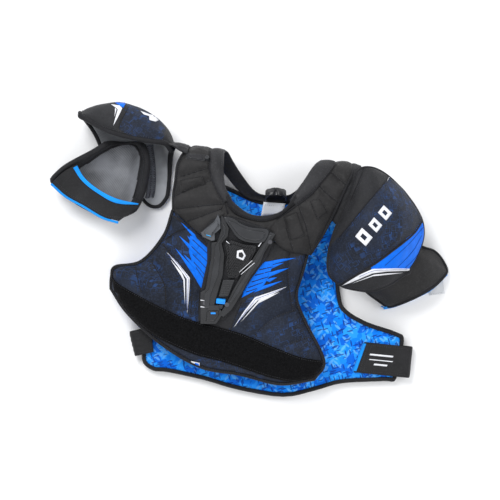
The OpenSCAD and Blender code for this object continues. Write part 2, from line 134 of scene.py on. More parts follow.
def arcs(g):
    """For each point of a grid, the way along the surface to its four edges."""
    cu = np.pad(np.cumsum(np.linalg.norm(np.diff(g, axis=1), axis=2), 1), ((0, 0), (1, 0)))
    cv = np.pad(np.cumsum(np.linalg.norm(np.diff(g, axis=0), axis=2), 0), ((1, 0), (0, 0)))
    return cu, cu[:, -1:] - cu, cv, cv[-1:] - cv


def edge_distance(g):
    """For each point of a grid, the way along the surface to the nearest of its four edges."""
    return np.min(arcs(g), axis=0)


def facing(n, row, col, way=(0, 0, 1)):
    """A grid's normals, turned so that the one at row, col is on the side of way."""
    return n if n[row, col] @ way > 0 else -n


def upright(path):
    """Straight up, once for each point of a path."""
    return np.tile([0, 0, 1.0], (len(path), 1))


def seen(p):
    """Where a point stands on the level plane, as seen from high above the chest."""
    return EYE[:2] + (p[..., :2] - EYE[:2]) * ((EYE[2] - PLANE_Z) / (EYE[2] - p[..., 2:3]))


def finer(line, step, closed=False):
    """The same straight stretches, with a point at least every step."""
    line = np.asarray(line, float)
    if closed:
        line = np.concatenate([line, line[:1]])
    out = []
    for a, b in zip(line[:-1], line[1:]):
        k = max(1, int(math.ceil(np.linalg.norm(b - a) / step)))
        out += [a + (b - a) * i / k for i in range(k)]
    if not closed:
        out.append(line[-1])
    return np.array(out)


def soft_line(line, step=4.0):
    """A smooth curve through a few points, with a point about every step."""
    line = np.asarray(line, float)
    length = np.linalg.norm(np.diff(line, axis=0), axis=1).sum()
    return spline(line, np.linspace(0, 1, max(3, int(length / step) + 1)))


def line_distance(q, line):
    """How far each point of q is from a line of straight stretches."""
    best = np.full(q.shape[:-1], 1e9)
    for a, b in zip(line[:-1], line[1:]):
        d = b - a
        t = np.clip(((q - a) @ d) / max(d @ d, 1e-9), 0, 1)
        best = np.minimum(best, np.linalg.norm(q - a - t[..., None] * d, axis=-1))
    return best


def inside(q, outline):
    """Whether each point of q is inside a closed outline."""
    odd = np.zeros(q.shape[:-1], bool)
    p = np.asarray(outline, float)
    for a, b in zip(p, np.roll(p, -1, 0)):
        cross = (a[1] > q[..., 1]) != (b[1] > q[..., 1])
        x = a[0] + (q[..., 1] - a[1]) * (b[0] - a[0]) / (b[1] - a[1] if b[1] != a[1] else 1e-9)
        odd ^= cross & (q[..., 0] < x)
    return odd


def ripples(p, wavelength, seed, waves=7):
    """A smooth, repeatable unevenness from about -1 to 1."""
    rng = np.random.default_rng(seed)
    total = np.zeros(p.shape[:-1])
    for _ in range(waves):
        k = unit(rng.normal(size=3)) * 2 * math.pi / (wavelength * rng.uniform(0.7, 1.5))
        total += np.sin(p @ k + rng.uniform(0, 6.3))
    return total / waves * 1.6


def pillow(d, height, radius):
    """Padding that rises with the distance d from a seam, up to height."""
    return height * (1 - np.exp(-np.maximum(d, 0) / radius))


# ---------------------------------------------------------------- meshes


class Part:
    """Vertices and faces of one piece, gathered from several shapes."""

    def __init__(self):
        self.verts, self.faces, self.mats, self.uvs = [], [], [], []
        self.count = 0

    def add(self, verts, faces, mat=0, uv=None):
        verts = np.asarray(verts, float).reshape(-1, 3)
        uv = verts[:, :2] if uv is None else np.asarray(uv, float).reshape(-1, 2)
        self.verts.append(verts)
        self.uvs.append(uv)
        self.faces += [tuple(int(i) + self.count for i in f) for f in faces]
        self.mats += list(mat) if hasattr(mat, "__len__") else [mat] * len(faces)
        self.count += len(verts)
        return self

    def make(self, name, materials, body=None, blend=None, replaces=()):
        mesh = bpy.data.meshes.new(name)
        verts = np.concatenate(self.verts) * MM
        mesh.from_pydata(verts.tolist(), [], self.faces)
        mesh.polygons.foreach_set("material_index", self.mats)
        mesh.polygons.foreach_set("use_smooth", [True] * len(self.faces))
        layer = mesh.uv_layers.new(name="UVMap")
        index = np.zeros(len(mesh.loops), int)
        mesh.loops.foreach_get("vertex_index", index)
        layer.data.foreach_set("uv", (np.concatenate(self.uvs) * MM)[index].ravel())
        for m in materials:
            mesh.materials.append(m)
        mesh.update()
        obj = bpy.data.objects.new(name, mesh)
        bpy.context.scene.collection.objects.link(obj)
        if blend:
            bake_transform(obj)
        else:
            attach(obj, body)
        if replaces:
            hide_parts(*replaces)
        return obj


def shell(part, g, n, lo, hi, mat=0, rim_mat=None, low_mat=None):
    """A closed layer between two depths of a surface, its upper face on the side of n."""
    rows, cols = g.shape[:2]
    size = rows * cols
    lo, hi = np.broadcast_to(lo, (rows, cols)), np.broadcast_to(hi, (rows, cols))
    verts = np.concatenate([(g + n * hi[..., None]).reshape(-1, 3), (g + n * lo[..., None]).reshape(-1, 3)])
    cu, _, cv, _ = arcs(g)
    uv = np.tile(np.stack([cu, cv], -1).reshape(-1, 2), (2, 1))
    a = (np.arange(rows - 1)[:, None] * cols + np.arange(cols - 1)).ravel()
    top = np.stack([a, a + cols, a + cols + 1, a + 1], 1)
    natural = np.cross(g[1, 0] - g[0, 0], g[0, 1] - g[0, 0]) @ n[0, 0] > 0
    rim = np.concatenate([
        np.arange(cols - 1), np.arange(rows - 1) * cols + cols - 1,
        (rows - 1) * cols + np.arange(cols - 1, 0, -1), np.arange(rows - 1, 0, -1) * cols])
    nxt = np.roll(rim, -1)
    side = np.stack([rim, nxt, nxt + size, rim + size], 1)
    low = (top + size)[:, ::-1]
    if not natural:
        top, side, low = top[:, ::-1], side[:, ::-1], low[:, ::-1]
    mats = list(mat) if hasattr(mat, "__len__") else [mat] * len(top)
    mats += [mats[0] if low_mat is None else low_mat] * len(low)
    mats += [mats[0] if rim_mat is None else rim_mat] * len(side)
    part.add(verts, np.concatenate([top, low, side]).tolist(), mats, uv)
    return part


def face_zone(g, tests):
    """Material number of each face of a grid: the last outline that its middle is in."""
    mid = seen((g[:-1, :-1] + g[1:, 1:]) / 2)
    out = np.zeros(mid.shape[:2], int)
    for outline, number in tests:
        out[inside(mid, outline)] = number
    return out.ravel().tolist()


def sweep(part, path, up, wide, tall, mat=0, closed=False, sides=10, power=2.6):
    """A rounded cord along a path; wide lies along the surface and tall stands on it."""
    path, up = np.asarray(path, float), np.asarray(up, float)
    n = len(path)
    along = unit(np.roll(path, -1, 0) - np.roll(path, 1, 0)) if closed else unit(np.gradient(path, axis=0))
    up = unit(up - (up * along).sum(1, keepdims=True) * along)
    side = np.cross(along, up)
    angle = np.arange(sides) * 2 * math.pi / sides
    cx = np.sign(np.cos(angle)) * np.abs(np.cos(angle)) ** (2 / power)
    cy = np.sign(np.sin(angle)) * np.abs(np.sin(angle)) ** (2 / power)
    wide, tall = np.broadcast_to(wide, n), np.broadcast_to(tall, n)
    rings = path[:, None] + side[:, None] * (cx[None, :, None] * wide[:, None, None] / 2) \
        + up[:, None] * (cy[None, :, None] * tall[:, None, None] / 2)
    run = np.concatenate([[0], np.cumsum(np.linalg.norm(np.diff(path, axis=0), axis=1))])
    uv = np.stack(np.broadcast_arrays(run[:, None], angle[None] * 4), -1)
    faces = []
    for i in range(n if closed else n - 1):
        for k in range(sides):
            a, b = i * sides + k, i * sides + (k + 1) % sides
            c, d = (a + sides) % (n * sides), (b + sides) % (n * sides)
            faces.append((a, b, d, c))
    if not closed:
        faces += [tuple(range(sides))[::-1], tuple((n - 1) * sides + k for k in range(sides))]
    part.add(rings.reshape(-1, 3), faces, mat, uv.reshape(-1, 2))
    return part


def stitches(part, path, up, gap=4.2, length=2.6, thick=0.9, mat=0, slant=0.0, lift=0.2):
    """Short threads laid along a path, each a small lens."""
    path, up = np.asarray(path, float), unit(np.asarray(up, float))
    run = np.concatenate([[0], np.cumsum(np.linalg.norm(np.diff(path, axis=0), axis=1))])
    for k in range(int(run[-1] / gap)):
        s = (k + 0.5) * gap
        p = np.array([np.interp(s, run, path[:, i]) for i in range(3)])
        q = np.array([np.interp(s + 0.5, run, path[:, i]) for i in range(3)])
        u = unit(np.array([np.interp(s, run, up[:, i]) for i in range(3)]))
        t = unit(q - p)
        w = np.cross(u, t)
        turn = slant * (1 if k % 2 else -1)
        t, w = t * math.cos(turn) + w * math.sin(turn), w * math.cos(turn) - t * math.sin(turn)
        p = p + u * lift
        v = [p - t * length / 2, p + w * thick / 2, p + t * length / 2, p - w * thick / 2,
             p + u * thick * 0.6, p - u * thick * 0.5]
        part.add(v, [(0, 3, 4), (3, 2, 4), (2, 1, 4), (1, 0, 4), (3, 0, 5), (2, 3, 5), (1, 2, 5), (0, 1, 5)],
                 mat)
    return part


def grid_tree(g, n, hi):
    """A search tree on a grid's upper face, to lay prints and seams on."""
    rows, cols = g.shape[:2]
    top = (g + n * np.broadcast_to(hi, (rows, cols))[..., None]).reshape(-1, 3)
    a = (np.arange(rows - 1)[:, None] * cols + np.arange(cols - 1)).ravel()
    quads = np.stack([a, a + cols, a + cols + 1, a + 1], 1)
    return BVHTree.FromPolygons([Vector(v) for v in top], quads.tolist())


def lay(points, tree):
    """Drops plane points on a surface, along the line of sight from above. Misses are None."""
    out = []
    for x, y in points:
        d = Vector((x - EYE[0], y - EYE[1], PLANE_Z - EYE[2])).normalized()
        hit, n, _, _ = tree.ray_cast(Vector(EYE), d)
        if hit is None:
            out.append(None)
        else:
            out.append((np.array(hit), np.array(n if n.dot(d) < 0 else -n)))
    return out


def lay_line(line, tree, step=3.0, smooth=True):
    """A line laid on a surface: its points and the surface's normals, or None where it misses."""
    line = soft_line(line, step) if smooth else finer(line, step)
    hits = [h for h in lay(line, tree) if h]
    if len(hits) < 3:
        return None, None
    p, n = np.array([h[0] for h in hits]), np.array([h[1] for h in hits])
    for _ in range(2):
        n[1:-1] = unit(n[:-2] + n[1:-1] + n[2:])
    return p, n


def fill(outline, step):
    """Triangles that fill a flat outline: points and faces."""
    edge = finer(outline, step, closed=True)
    lo, hi = edge.min(0), edge.max(0)
    xs, ys = np.arange(lo[0] + step / 2, hi[0], step), np.arange(lo[1] + step / 2, hi[1], step)
    if len(xs) and len(ys):
        q = np.stack(np.meshgrid(xs, ys), -1).reshape(-1, 2)
        q = q[inside(q, edge)]
        closed = np.concatenate([edge, edge[:1]])
        q = q[line_distance(q, closed) > step * 0.45] if len(q) else q
    else:
        q = np.zeros((0, 2))
    pts = [Vector(p) for p in np.concatenate([edge, q])]
    got = delaunay_2d_cdt(pts, [], [list(range(len(edge)))], 1, 1e-4)
    return np.array([list(v) for v in got[0]]), [tuple(f) for f in got[2]]


def prism(part, top, low, faces, mat=0, wall_mat=None):
    """A closed solid between two sets of the same points."""
    n = len(top)
    seen_edges = {}
    for f in faces:
        for a, b in zip(f, f[1:] + f[:1]):
            seen_edges[(a, b)] = True
    walls = [(b, a, a + n, b + n) for a, b in seen_edges if (b, a) not in seen_edges]
    all_faces = list(faces) + [tuple(i + n for i in reversed(f)) for f in faces] + walls
    mats = [mat] * (2 * len(faces)) + [mat if wall_mat is None else wall_mat] * len(walls)
    part.add(np.concatenate([top, low]), all_faces, mats)
    return part


def applique(part, outline, tree, lift=0.5, thick=0.6, step=3.5, mat=0):
    """A thin closed layer with a crisp outline, lying on a surface."""
    pts, faces = fill(outline, step)
    hits = lay(pts, tree)
    faces = [f for f in faces if all(hits[i] for i in f)]
    used = sorted({i for f in faces for i in f})
    if not used:
        return part
    number = {v: k for k, v in enumerate(used)}
    p, n = np.array([hits[i][0] for i in used]), np.array([hits[i][1] for i in used])
    faces = [tuple(number[i] for i in f) for f in faces]
    return prism(part, p + n * lift, p + n * (lift - thick), faces, mat)


def seam(part, line, tree, wide=2.4, tall=1.6, mat=0, lift=0.0, smooth=True):
    """A cord along a line laid on a surface."""
    p, n = lay_line(line, tree, smooth=smooth)
    if p is not None:
        sweep(part, p + n * lift, n, wide, tall, mat, sides=8, power=2)
    return part


TOP_STITCH = {"gap": 4.2, "length": 2.8, "thick": 0.8}


def run_stitches(part, line, tree, mat=0, lift=0.3, smooth=True, **kw):
    """Stitches along a line laid on a surface."""
    p, n = lay_line(line, tree, smooth=smooth)
    if p is not None:
        stitches(part, p + n * lift, n, mat=mat, **kw)
    return part

# ---------------------------------------------------------------- surfaces shared with the CAD

# Millimetres; each surface is a spline patch through these rows of points, the same as in part.scad.
# They were worked out from positions read off the photograph, with guessed heights
CHEST_NET = [
    [(-186, 142, 80), (-157, 115, 88), (-125, 90, 95), (-86, 93, 100), (-36, 100, 100), (13, 79, 97),
     (58, 72, 84)],
    [(-203, 97, 70), (-172, 76, 82), (-130, 51, 90), (-86, 44, 93), (-40, 44, 94), (10, 36, 91),
     (48, 33, 78)],
    [(-244, 52, 50), (-203, 34, 68), (-154, 13, 80), (-99, 1, 86), (-43, -6, 87), (3, -10, 85),
     (37, -12, 71)],
    [(-293, 41, 34), (-227, 13, 58), (-165, -16, 73), (-104, -33, 80), (-47, -46, 81), (7, -53, 77),
     (52, -56, 64)],
    [(-301, 23, 28), (-241, -15, 50), (-176, -47, 64), (-115, -68, 72), (-54, -86, 73), (16, -111, 67),
     (86, -128, 56)],
    [(-303, 1, 24), (-269, -44, 40), (-210, -96, 52), (-137, -139, 55), (-65, -153, 55), (7, -170, 55),
     (68, -161, 55)],
]
BACK_OUTLINE = [
    (-246, -128), (-227, -149), (-196, -153), (-132, -167), (-69, -185), (14, -198), (74, -186), (122, -173),
    (198, -169), (222, -164), (236, -95), (223, -79), (168, -60), (130, -37), (120, -13), (117, 35),
    (124, 90), (132, 130), (134, 165), (108, 176), (80, 180), (38, 166), (-1, 162), (-36, 166), (-80, 186),
    (-110, 197), (-160, 202), (-170, 164), (-146, 100), (-128, 35), (-132, -13), (-146, -43), (-182, -60),
    (-233, -81),
]
RIGHT_CAP_NET = [
    [(143, 212, 92), (156, 220, 88), (178, 218, 82), (203, 204, 74), (229, 180, 66)],
    [(133, 183, 100), (153, 185, 114), (181, 177, 120), (214, 160, 106), (250, 153, 62)],
    [(119, 146, 104), (142, 145, 128), (176, 140, 138), (218, 128, 120), (265, 124, 58)],
    [(101, 106, 104), (129, 103, 131), (168, 100, 142), (216, 95, 122), (267, 94, 56)],
    [(90, 63, 102), (119, 61, 124), (160, 60, 134), (208, 61, 116), (255, 61, 62)],
    [(93, 26, 98), (122, 24, 112), (160, 28, 120), (202, 37, 106), (241, 40, 74)],
    [(118, 5, 92), (137, 1, 98), (169, -2, 100), (203, 10, 92), (239, 34, 78)],
]
RIGHT_GUARD_NET = [
    [(138, 39, 46), (162, 58, 60), (192, 72, 64), (223, 85, 56), (249, 96, 36)],
    [(149, 16, 40), (175, 32, 58), (206, 47, 63), (240, 61, 54), (267, 79, 26)],
    [(164, -5, 32), (191, 12, 55), (225, 29, 61), (258, 47, 51), (290, 72, 20)],
    [(183, -19, 22), (206, -6, 48), (241, 9, 56), (275, 29, 46), (307, 55, 14)],
    [(205, -35, 12), (224, -28, 36), (257, -13, 44), (291, 7, 36), (319, 32, 10)],
]
LEFT_CAP_NET = [
    [(-352, 316, 70), (-314, 291, 86), (-274, 276, 94), (-228, 267, 92), (-196, 264, 84),
     (-184, 250, 68)],
    [(-352, 318, 66), (-318, 311, 78), (-275, 305, 88), (-227, 291, 86), (-196, 275, 76),
     (-183, 257, 62)],
    [(-355, 322, 46), (-324, 333, 48), (-278, 338, 50), (-230, 320, 50), (-198, 293, 46),
     (-183, 263, 40)],
    [(-348, 310, 14), (-319, 322, 9), (-279, 326, 7), (-235, 309, 7), (-205, 282, 9), (-190, 246, 13)],
    [(-330, 282, 4), (-308, 286, 1), (-274, 282, 1), (-235, 264, 1), (-210, 241, 1), (-194, 215, 4)],
    [(-316, 245, 4), (-294, 227, 1), (-264, 197, 1), (-237, 158, 1), (-214, 153, 2), (-198, 171, 4)],
]
LEFT_GUARD_NET = [
    [(-305, 261, 56), (-295, 265, 34), (-277, 266, 26), (-258, 267, 34), (-242, 261, 58)],
    [(-332, 245, 54), (-321, 240, 28), (-293, 230, 19), (-260, 233, 28), (-233, 234, 58)],
    [(-358, 233, 50), (-345, 218, 24), (-311, 197, 17), (-270, 200, 25), (-235, 205, 55)],
    [(-384, 219, 46), (-369, 197, 20), (-332, 169, 15), (-283, 167, 22), (-242, 175, 50)],
    [(-408, 197, 42), (-392, 177, 18), (-352, 151, 14), (-304, 131, 18), (-257, 143, 44)],
]
LEFT_SLEEVE_NET = [
    [(-359, 226, 60), (-345, 202, 57), (-318, 180, 56), (-285, 164, 58), (-244, 155, 60)],
    [(-383, 213, 58), (-361, 186, 55), (-332, 164, 54), (-296, 142, 56), (-250, 148, 58)],
    [(-405, 194, 53), (-379, 171, 53), (-347, 153, 53), (-313, 133, 53), (-284, 124, 53)],
]
RIGHT_SLEEVE_NET = [
    [(172, 6, 24), (196, 14, 5), (225, 29, 3), (254, 45, 5), (276, 66, 12)],
    [(187, -12, 15), (208, -6, 5), (238, 9, 3), (268, 28, 5), (293, 51, 8)],
    [(206, -32, 7), (224, -25, 4), (255, -12, 3), (286, 6, 4), (310, 30, 6)],
]

# ---------------------------------------------------------------- materials


class Shader:
    """A node tree with short names for what the fabrics and plastics here need."""

    def __init__(self, name, rough=0.6, sheen=0.0, coat=0.0, specular=0.5, metallic=0.0):
        self.mat = bpy.data.materials.new(name)
        self.mat.use_nodes = True
        self.tree = self.mat.node_tree
        self.bsdf = self.tree.nodes["Principled BSDF"]
        for key, value in (("Roughness", rough), ("Sheen Weight", sheen), ("Coat Weight", coat),
                           ("Specular IOR Level", specular), ("Metallic", metallic)):
            self.bsdf.inputs[key].default_value = value
        self.bsdf.inputs["Sheen Roughness"].default_value = 0.45
        self.bsdf.inputs["Coat Roughness"].default_value = 0.25
        coords = self.node("ShaderNodeTexCoord")
        self.place, self.uv = coords.outputs["Object"], coords.outputs["UV"]
        self.height = None

    def node(self, kind, inputs=(), **props):
        n = self.tree.nodes.new(kind)
        for key, value in props.items():
            setattr(n, key, value)
        for key, value in dict(inputs).items():
            if isinstance(value, bpy.types.NodeSocket):
                self.tree.links.new(value, n.inputs[key])
            else:
                n.inputs[key].default_value = value
        return n

    def mapped(self, source, scale, turn=0.0, shift=(0, 0, 0)):
        return self.node("ShaderNodeMapping", {"Vector": source, "Scale": scale, "Rotation": (0, 0, turn),
                                               "Location": shift}).outputs[0]

    def math(self, op, a, b=0.0, c=0.0):
        return self.node("ShaderNodeMath", {0: a, 1: b, 2: c}, operation=op).outputs[0]

    def noise(self, size_mm, detail=3.0, source=None, distortion=0.0):
        n = self.node("ShaderNodeTexNoise", {"Vector": source or self.place, "Scale": 1000 / size_mm,
                                             "Detail": detail, "Distortion": distortion})
        return n.outputs["Fac"]

    def wave(self, period_mm, axis="X", source=None, distortion=0.0):
        n = self.node("ShaderNodeTexWave", {"Vector": source or self.uv, "Scale": 314 / period_mm,
                                            "Distortion": distortion, "Detail": 1.0, "Detail Scale": 2.0},
                      bands_direction=axis)
        return n.outputs["Fac"]

    def step(self, value, low, high):
        return self.node("ShaderNodeMapRange", {0: value, 1: low, 2: high}).outputs[0]

    def mix(self, fac, a, b):
        n = self.node("ShaderNodeMix", data_type="RGBA")
        for key, value in ((0, fac), (6, a), (7, b)):
            if isinstance(value, bpy.types.NodeSocket):
                self.tree.links.new(value, n.inputs[key])
            else:
                n.inputs[key].default_value = (*value, 1) if hasattr(value, "__len__") else value
        return n.outputs[2]

    def bump(self, height, distance_mm, strength=1.0):
        inputs = {"Height": height, "Distance": distance_mm * MM, "Strength": strength}
        if self.height:
            inputs["Normal"] = self.height
        self.height = self.node("ShaderNodeBump", inputs).outputs[0]

    def done(self, colour, rough=None):
        if isinstance(colour, bpy.types.NodeSocket):
            self.tree.links.new(colour, self.bsdf.inputs["Base Color"])
        else:
            self.bsdf.inputs["Base Color"].default_value = (*colour, 1)
        if rough is not None:
            self.tree.links.new(rough, self.bsdf.inputs["Roughness"])
        if self.height:
            self.tree.links.new(self.height, self.bsdf.inputs["Normal"])
        return self.mat


def tint(c, k):
    """A colour made k times as bright."""
    return tuple(min(1.0, v * k) for v in c)


def woven(name, colour, thread=1.4, rough=0.65, sheen=0.25, depth=0.25, fade=1.7, coat=0.0, crumple=0.6,
          grain=0.4):
    """Plain weave, with uneven dye, small creases and a little fading."""
    s = Shader(name, rough, sheen * 0.4, coat, 0.26)
    weave = s.math("MULTIPLY", s.wave(thread, "X"), s.wave(thread, "Y"))
    s.bump(s.noise(38, 3, distortion=0.6), crumple * 2.2, 0.5)
    s.bump(s.noise(7, 3), crumple * 0.5, 0.5)
    s.bump(weave, depth, 0.8)
    tone = s.mix(s.step(s.noise(45, 4), 0.35, 0.7), tint(colour, 0.8), tint(colour, fade))
    tone = s.mix(s.math("MULTIPLY", weave, 0.5), tone, tint(colour, fade * 1.25))
    tone = s.mix(s.math("MULTIPLY", s.step(s.noise(3.4, 2), 0.5, 0.7), grain), tone, tint(colour, 2.6))
    return s.done(tone, s.math("MULTIPLY_ADD", s.noise(20, 3), 0.25, rough - 0.12))


def printed_mesh(name, ground, line, strength=0.75, shade=1.0):
    """Dark warp mesh with a faint print of nested angular contour lines."""
    s = Shader(name, 0.6, 0.03, 0.0, 0.2)
    cells = s.node("ShaderNodeTexVoronoi", {"Vector": s.mapped(s.uv, (1, 1, 1), 0.5), "Scale": 88.0,
                                            "Randomness": 0.85}, distance="CHEBYCHEV")
    rings = s.math("FRACT", s.math("MULTIPLY", cells.outputs["Distance"], 4.2))
    thin = s.math("MULTIPLY", s.step(rings, 0.36, 0.46), s.step(rings, 0.72, 0.6))
    where = s.math("MULTIPLY", s.step(s.noise(60, 2), 0.44, 0.56), s.step(s.noise(9, 2), 0.3, 0.5))
    weave = s.math("MULTIPLY", s.wave(1.5, "X"), s.wave(1.5, "Y"))
    s.bump(s.noise(40, 3, distortion=0.5), 1.2, 0.5)
    s.bump(weave, 0.3, 0.8)
    tone = s.mix(s.step(s.noise(50, 4), 0.35, 0.7), tint(ground, 0.7), tint(ground, 1.6))
    tone = s.mix(s.math("MULTIPLY", s.math("MULTIPLY", thin, where), strength), tone, line)
    tone = s.mix(s.math("MULTIPLY", s.step(weave, 0.55, 0.95), 0.3), tone, tint(ground, 3.2 * shade))
    tone = s.mix(s.math("MULTIPLY", s.step(s.noise(3.0, 2), 0.48, 0.68), 0.4), tone,
                 tint(ground, 3.4 * shade))
    return s.done(tone)


def patch_print(name):
    """Bright blue lining with angular patches and short strokes in no order."""
    s = Shader(name, 0.6, 0.0, 0.0, 0.1)
    cells = s.node("ShaderNodeTexVoronoi", {"Vector": s.mapped(s.place, (1, 1, 1), 0.6), "Scale": 72.0},
                   distance="MANHATTAN")
    pick = s.node("ShaderNodeSeparateColor", {0: cells.outputs["Color"]}).outputs[0]
    tone = s.mix(s.step(pick, 0.33, 0.36), (0.002, 0.13, 0.68), (0.003, 0.22, 0.9))
    tone = s.mix(s.step(pick, 0.66, 0.69), tone, (0.02, 0.32, 1.0))

    def strokes(turn, stretch, shift, size):
        v = s.node("ShaderNodeTexVoronoi",
                   {"Vector": s.mapped(s.mapped(s.place, (1, 1, 1), turn, shift), stretch),
                                            "Scale": size,
                                            "Randomness": 0.9})
        return s.step(v.outputs["Distance"], 0.33, 0.28)

    pale = s.math("MAXIMUM", strokes(0.7, (1, 3.0, 1), (0, 0, 0), 46.0),
                  strokes(-0.9, (1, 3.2, 1), (3, 1, 0), 42.0))
    dark = s.math("MAXIMUM", strokes(1.3, (1, 4.4, 1), (7, 2, 0), 50.0),
                  strokes(-0.3, (1, 4.8, 1), (5, 9, 0), 48.0))
    tone = s.mix(s.math("MULTIPLY", pale, 0.6), tone, (0.16, 0.52, 1.0))
    tone = s.mix(s.math("MULTIPLY", dark, 0.75), tone, (0.006, 0.012, 0.16))
    s.bump(s.noise(30, 3), 1.5, 0.5)
    s.bump(s.math("MULTIPLY", s.wave(1.3, "X"), s.wave(1.3, "Y")), 0.2, 0.8)
    tone = s.mix(s.math("MULTIPLY", s.step(s.noise(80, 2), 0.62, 0.4), 0.2), tone, (0.002, 0.09, 0.5))
    return s.done(tone)


def brushed(name, colour, rib=2.2, turn=0.0):
    """Brushed tricot with fine ribs, and broad lighter and darker patches of painted sheen and shade."""
    s = Shader(name, 0.5, 0.2, 0.0, 0.35)
    lines = s.wave(rib, "X", s.mapped(s.uv, (1, 1, 1), turn), 0.6)
    s.bump(s.noise(34, 3), 2.0, 0.5)
    s.bump(lines, 0.35, 0.8)
    s.bump(s.noise(1.2, 2), 0.2, 0.6)
    # painted sheen and shade: broad noise patches make the colour from 0.55 to 1.45 times as bright
    tone = s.mix(s.step(s.noise(48, 3), 0.35, 0.65), tint(colour, 0.55), tint(colour, 1.45))
    tone = s.mix(s.math("MULTIPLY", lines, 0.35), tone, tint(colour, 1.8))
    return s.done(tone)


def pile(name, colour):
    """Loop pile: short, matt and fuzzy."""
    s = Shader(name, 0.95, 0.03, 0.0, 0.04)
    fuzz = s.noise(1.6, 4, distortion=1.0)
    s.bump(s.noise(12, 3), 1.0, 0.5)
    s.bump(fuzz, 1.4, 1.0)
    tone = s.mix(s.step(fuzz, 0.35, 0.75), tint(colour, 0.3), tint(colour, 2.2))
    return s.done(tone)


def moulded(name, colour, rough=0.42, grain=0.5, rib=None, coat=0.0):
    """Moulded plastic: fine leather grain, softer gloss in patches, and sharp edges painted lighter as a
    highlight.
    """
    s = Shader(name, rough, 0.0, coat, 0.5)
    s.bump(s.noise(1.1, 3), 0.12 * grain, 0.8)
    if rib:
        lines = s.wave(rib, "X", s.mapped(s.place, (1, 1, 1), 0.6))
        s.bump(lines, 1.2, 1.0)
    edge = s.node("ShaderNodeNewGeometry").outputs["Pointiness"]
    tone = s.mix(s.step(s.noise(25, 4), 0.35, 0.7), tint(colour, 0.85), tint(colour, 1.3))
    # painted highlight: sharp edges, found by pointiness, are mixed towards a colour 3.5 times as bright
    tone = s.mix(s.math("MULTIPLY", s.step(edge, 0.52, 0.62), 0.5), tone, tint(colour, 3.5))
    return s.done(tone, s.math("MULTIPLY_ADD", s.noise(6, 4), 0.25, rough - 0.12))


def printed(name, colour, rough=0.45):
    """Heat-set print: a smooth film that cracks finely and lets the weave through."""
    s = Shader(name, rough, 0.0, 0.0, 0.12)
    weave = s.math("MULTIPLY", s.wave(1.5, "X"), s.wave(1.5, "Y"))
    s.bump(weave, 0.15, 0.7)
    s.bump(s.noise(3, 3), 0.15, 0.5)
    tone = s.mix(s.step(s.noise(14, 4), 0.3, 0.7), tint(colour, 0.86), tint(colour, 1.06))
    return s.done(tone)


CYAN = (0.0, 0.27, 0.86)
M = {
    "mesh": printed_mesh("navy_mesh", (0.0085, 0.012, 0.022), (0.016, 0.06, 0.2)),
    "nylon": woven("black_nylon", (0.0125, 0.012, 0.0125), 1.6, 0.58, 0.12, 0.25, 1.6),
    "panel": woven("black_panel", (0.010, 0.0102, 0.012), 1.2, 0.62, 0.12, 0.2, 1.5),
    "neoprene": woven("neoprene", (0.0155, 0.0155, 0.0175), 0.9, 0.55, 0.12, 0.12, 1.35, crumple=0.4),
    "binding": woven("binding_tape", (0.0075, 0.0075, 0.009), 2.0, 0.72, 0.12, 0.35, 1.7, crumple=0.2),
    "lining": patch_print("blue_lining"),
    # painted light: grey_tricot's colour is raised to make up for the shade inside the caps, and
    # grey_tricot_fine's is lowered to make up for the light on the left guard
    "tricot": brushed("grey_tricot", (0.25, 0.258, 0.275)),
    "tricot_fine": brushed("grey_tricot_fine", (0.115, 0.12, 0.132), 2.6, 1.1),
    "strip": woven("grey_seam_tape", (0.11, 0.115, 0.135), 1.8, 0.7, 0.2, 0.3, 1.4, crumple=0.2),
    "pile": pile("loop_pile", (0.006, 0.006, 0.0065)),
    "hook": pile("hook_pile", (0.010, 0.010, 0.011)),
    "elastic": woven("black_elastic", (0.0085, 0.0085, 0.0095), 2.4, 0.6, 0.12, 0.4, 1.5, crumple=0.3),
    "blue_elastic": woven("blue_elastic", CYAN, 2.6, 0.55, 0.2, 0.7, 1.15, crumple=0.2, grain=0.0),
    "label": woven("white_label", (0.72, 0.74, 0.78), 0.8, 0.6, 0.1, 0.08, 1.08, crumple=0.5, grain=0.0),
    "webbing": woven("gloss_webbing", (0.009, 0.009, 0.011), 1.8, 0.3, 0.05, 0.3, 1.5, 0.35, 0.4),
    "thread": woven("black_thread", (0.042, 0.043, 0.05), 0.6, 0.6, 0.1, 0.1, 1.2, crumple=0.1),
    "blue_thread": woven("blue_thread", (0.003, 0.035, 0.22), 0.6, 0.6, 0.1, 0.1, 1.2, crumple=0.1),
    # hole_dark: painted shade for the seam tape's perforations
    "hole": moulded("hole_dark", (0.012, 0.012, 0.014), 0.8, 0.2),
    "frame": moulded("moulded_black", (0.013, 0.0135, 0.0155), 0.44, 0.8, coat=0.05),
    "satin": moulded("moulded_satin", (0.020, 0.021, 0.024), 0.36, 0.4, coat=0.1),
    "grey": moulded("moulded_grey", (0.06, 0.064, 0.072), 0.4, 0.5, coat=0.1),
    "ribbed": moulded("moulded_ribbed", (0.0095, 0.0095, 0.011), 0.42, 0.8, 3.4),
    "gloss": moulded("moulded_gloss", (0.012, 0.012, 0.014), 0.22, 0.2, coat=0.4),
    "blue": moulded("moulded_blue", (0.004, 0.2, 0.9), 0.4, 0.4),
    "print_blue": printed("print_blue", (0.003, 0.155, 0.80)),
    "print_deep": printed("print_deep_blue", (0.002, 0.04, 0.30)),
    "print_white": printed("print_white", (0.78, 0.79, 0.83)),
    "steel": moulded("rivet_dark", (0.03, 0.03, 0.034), 0.32, 0.2),
}

# ---------------------------------------------------------------- chest

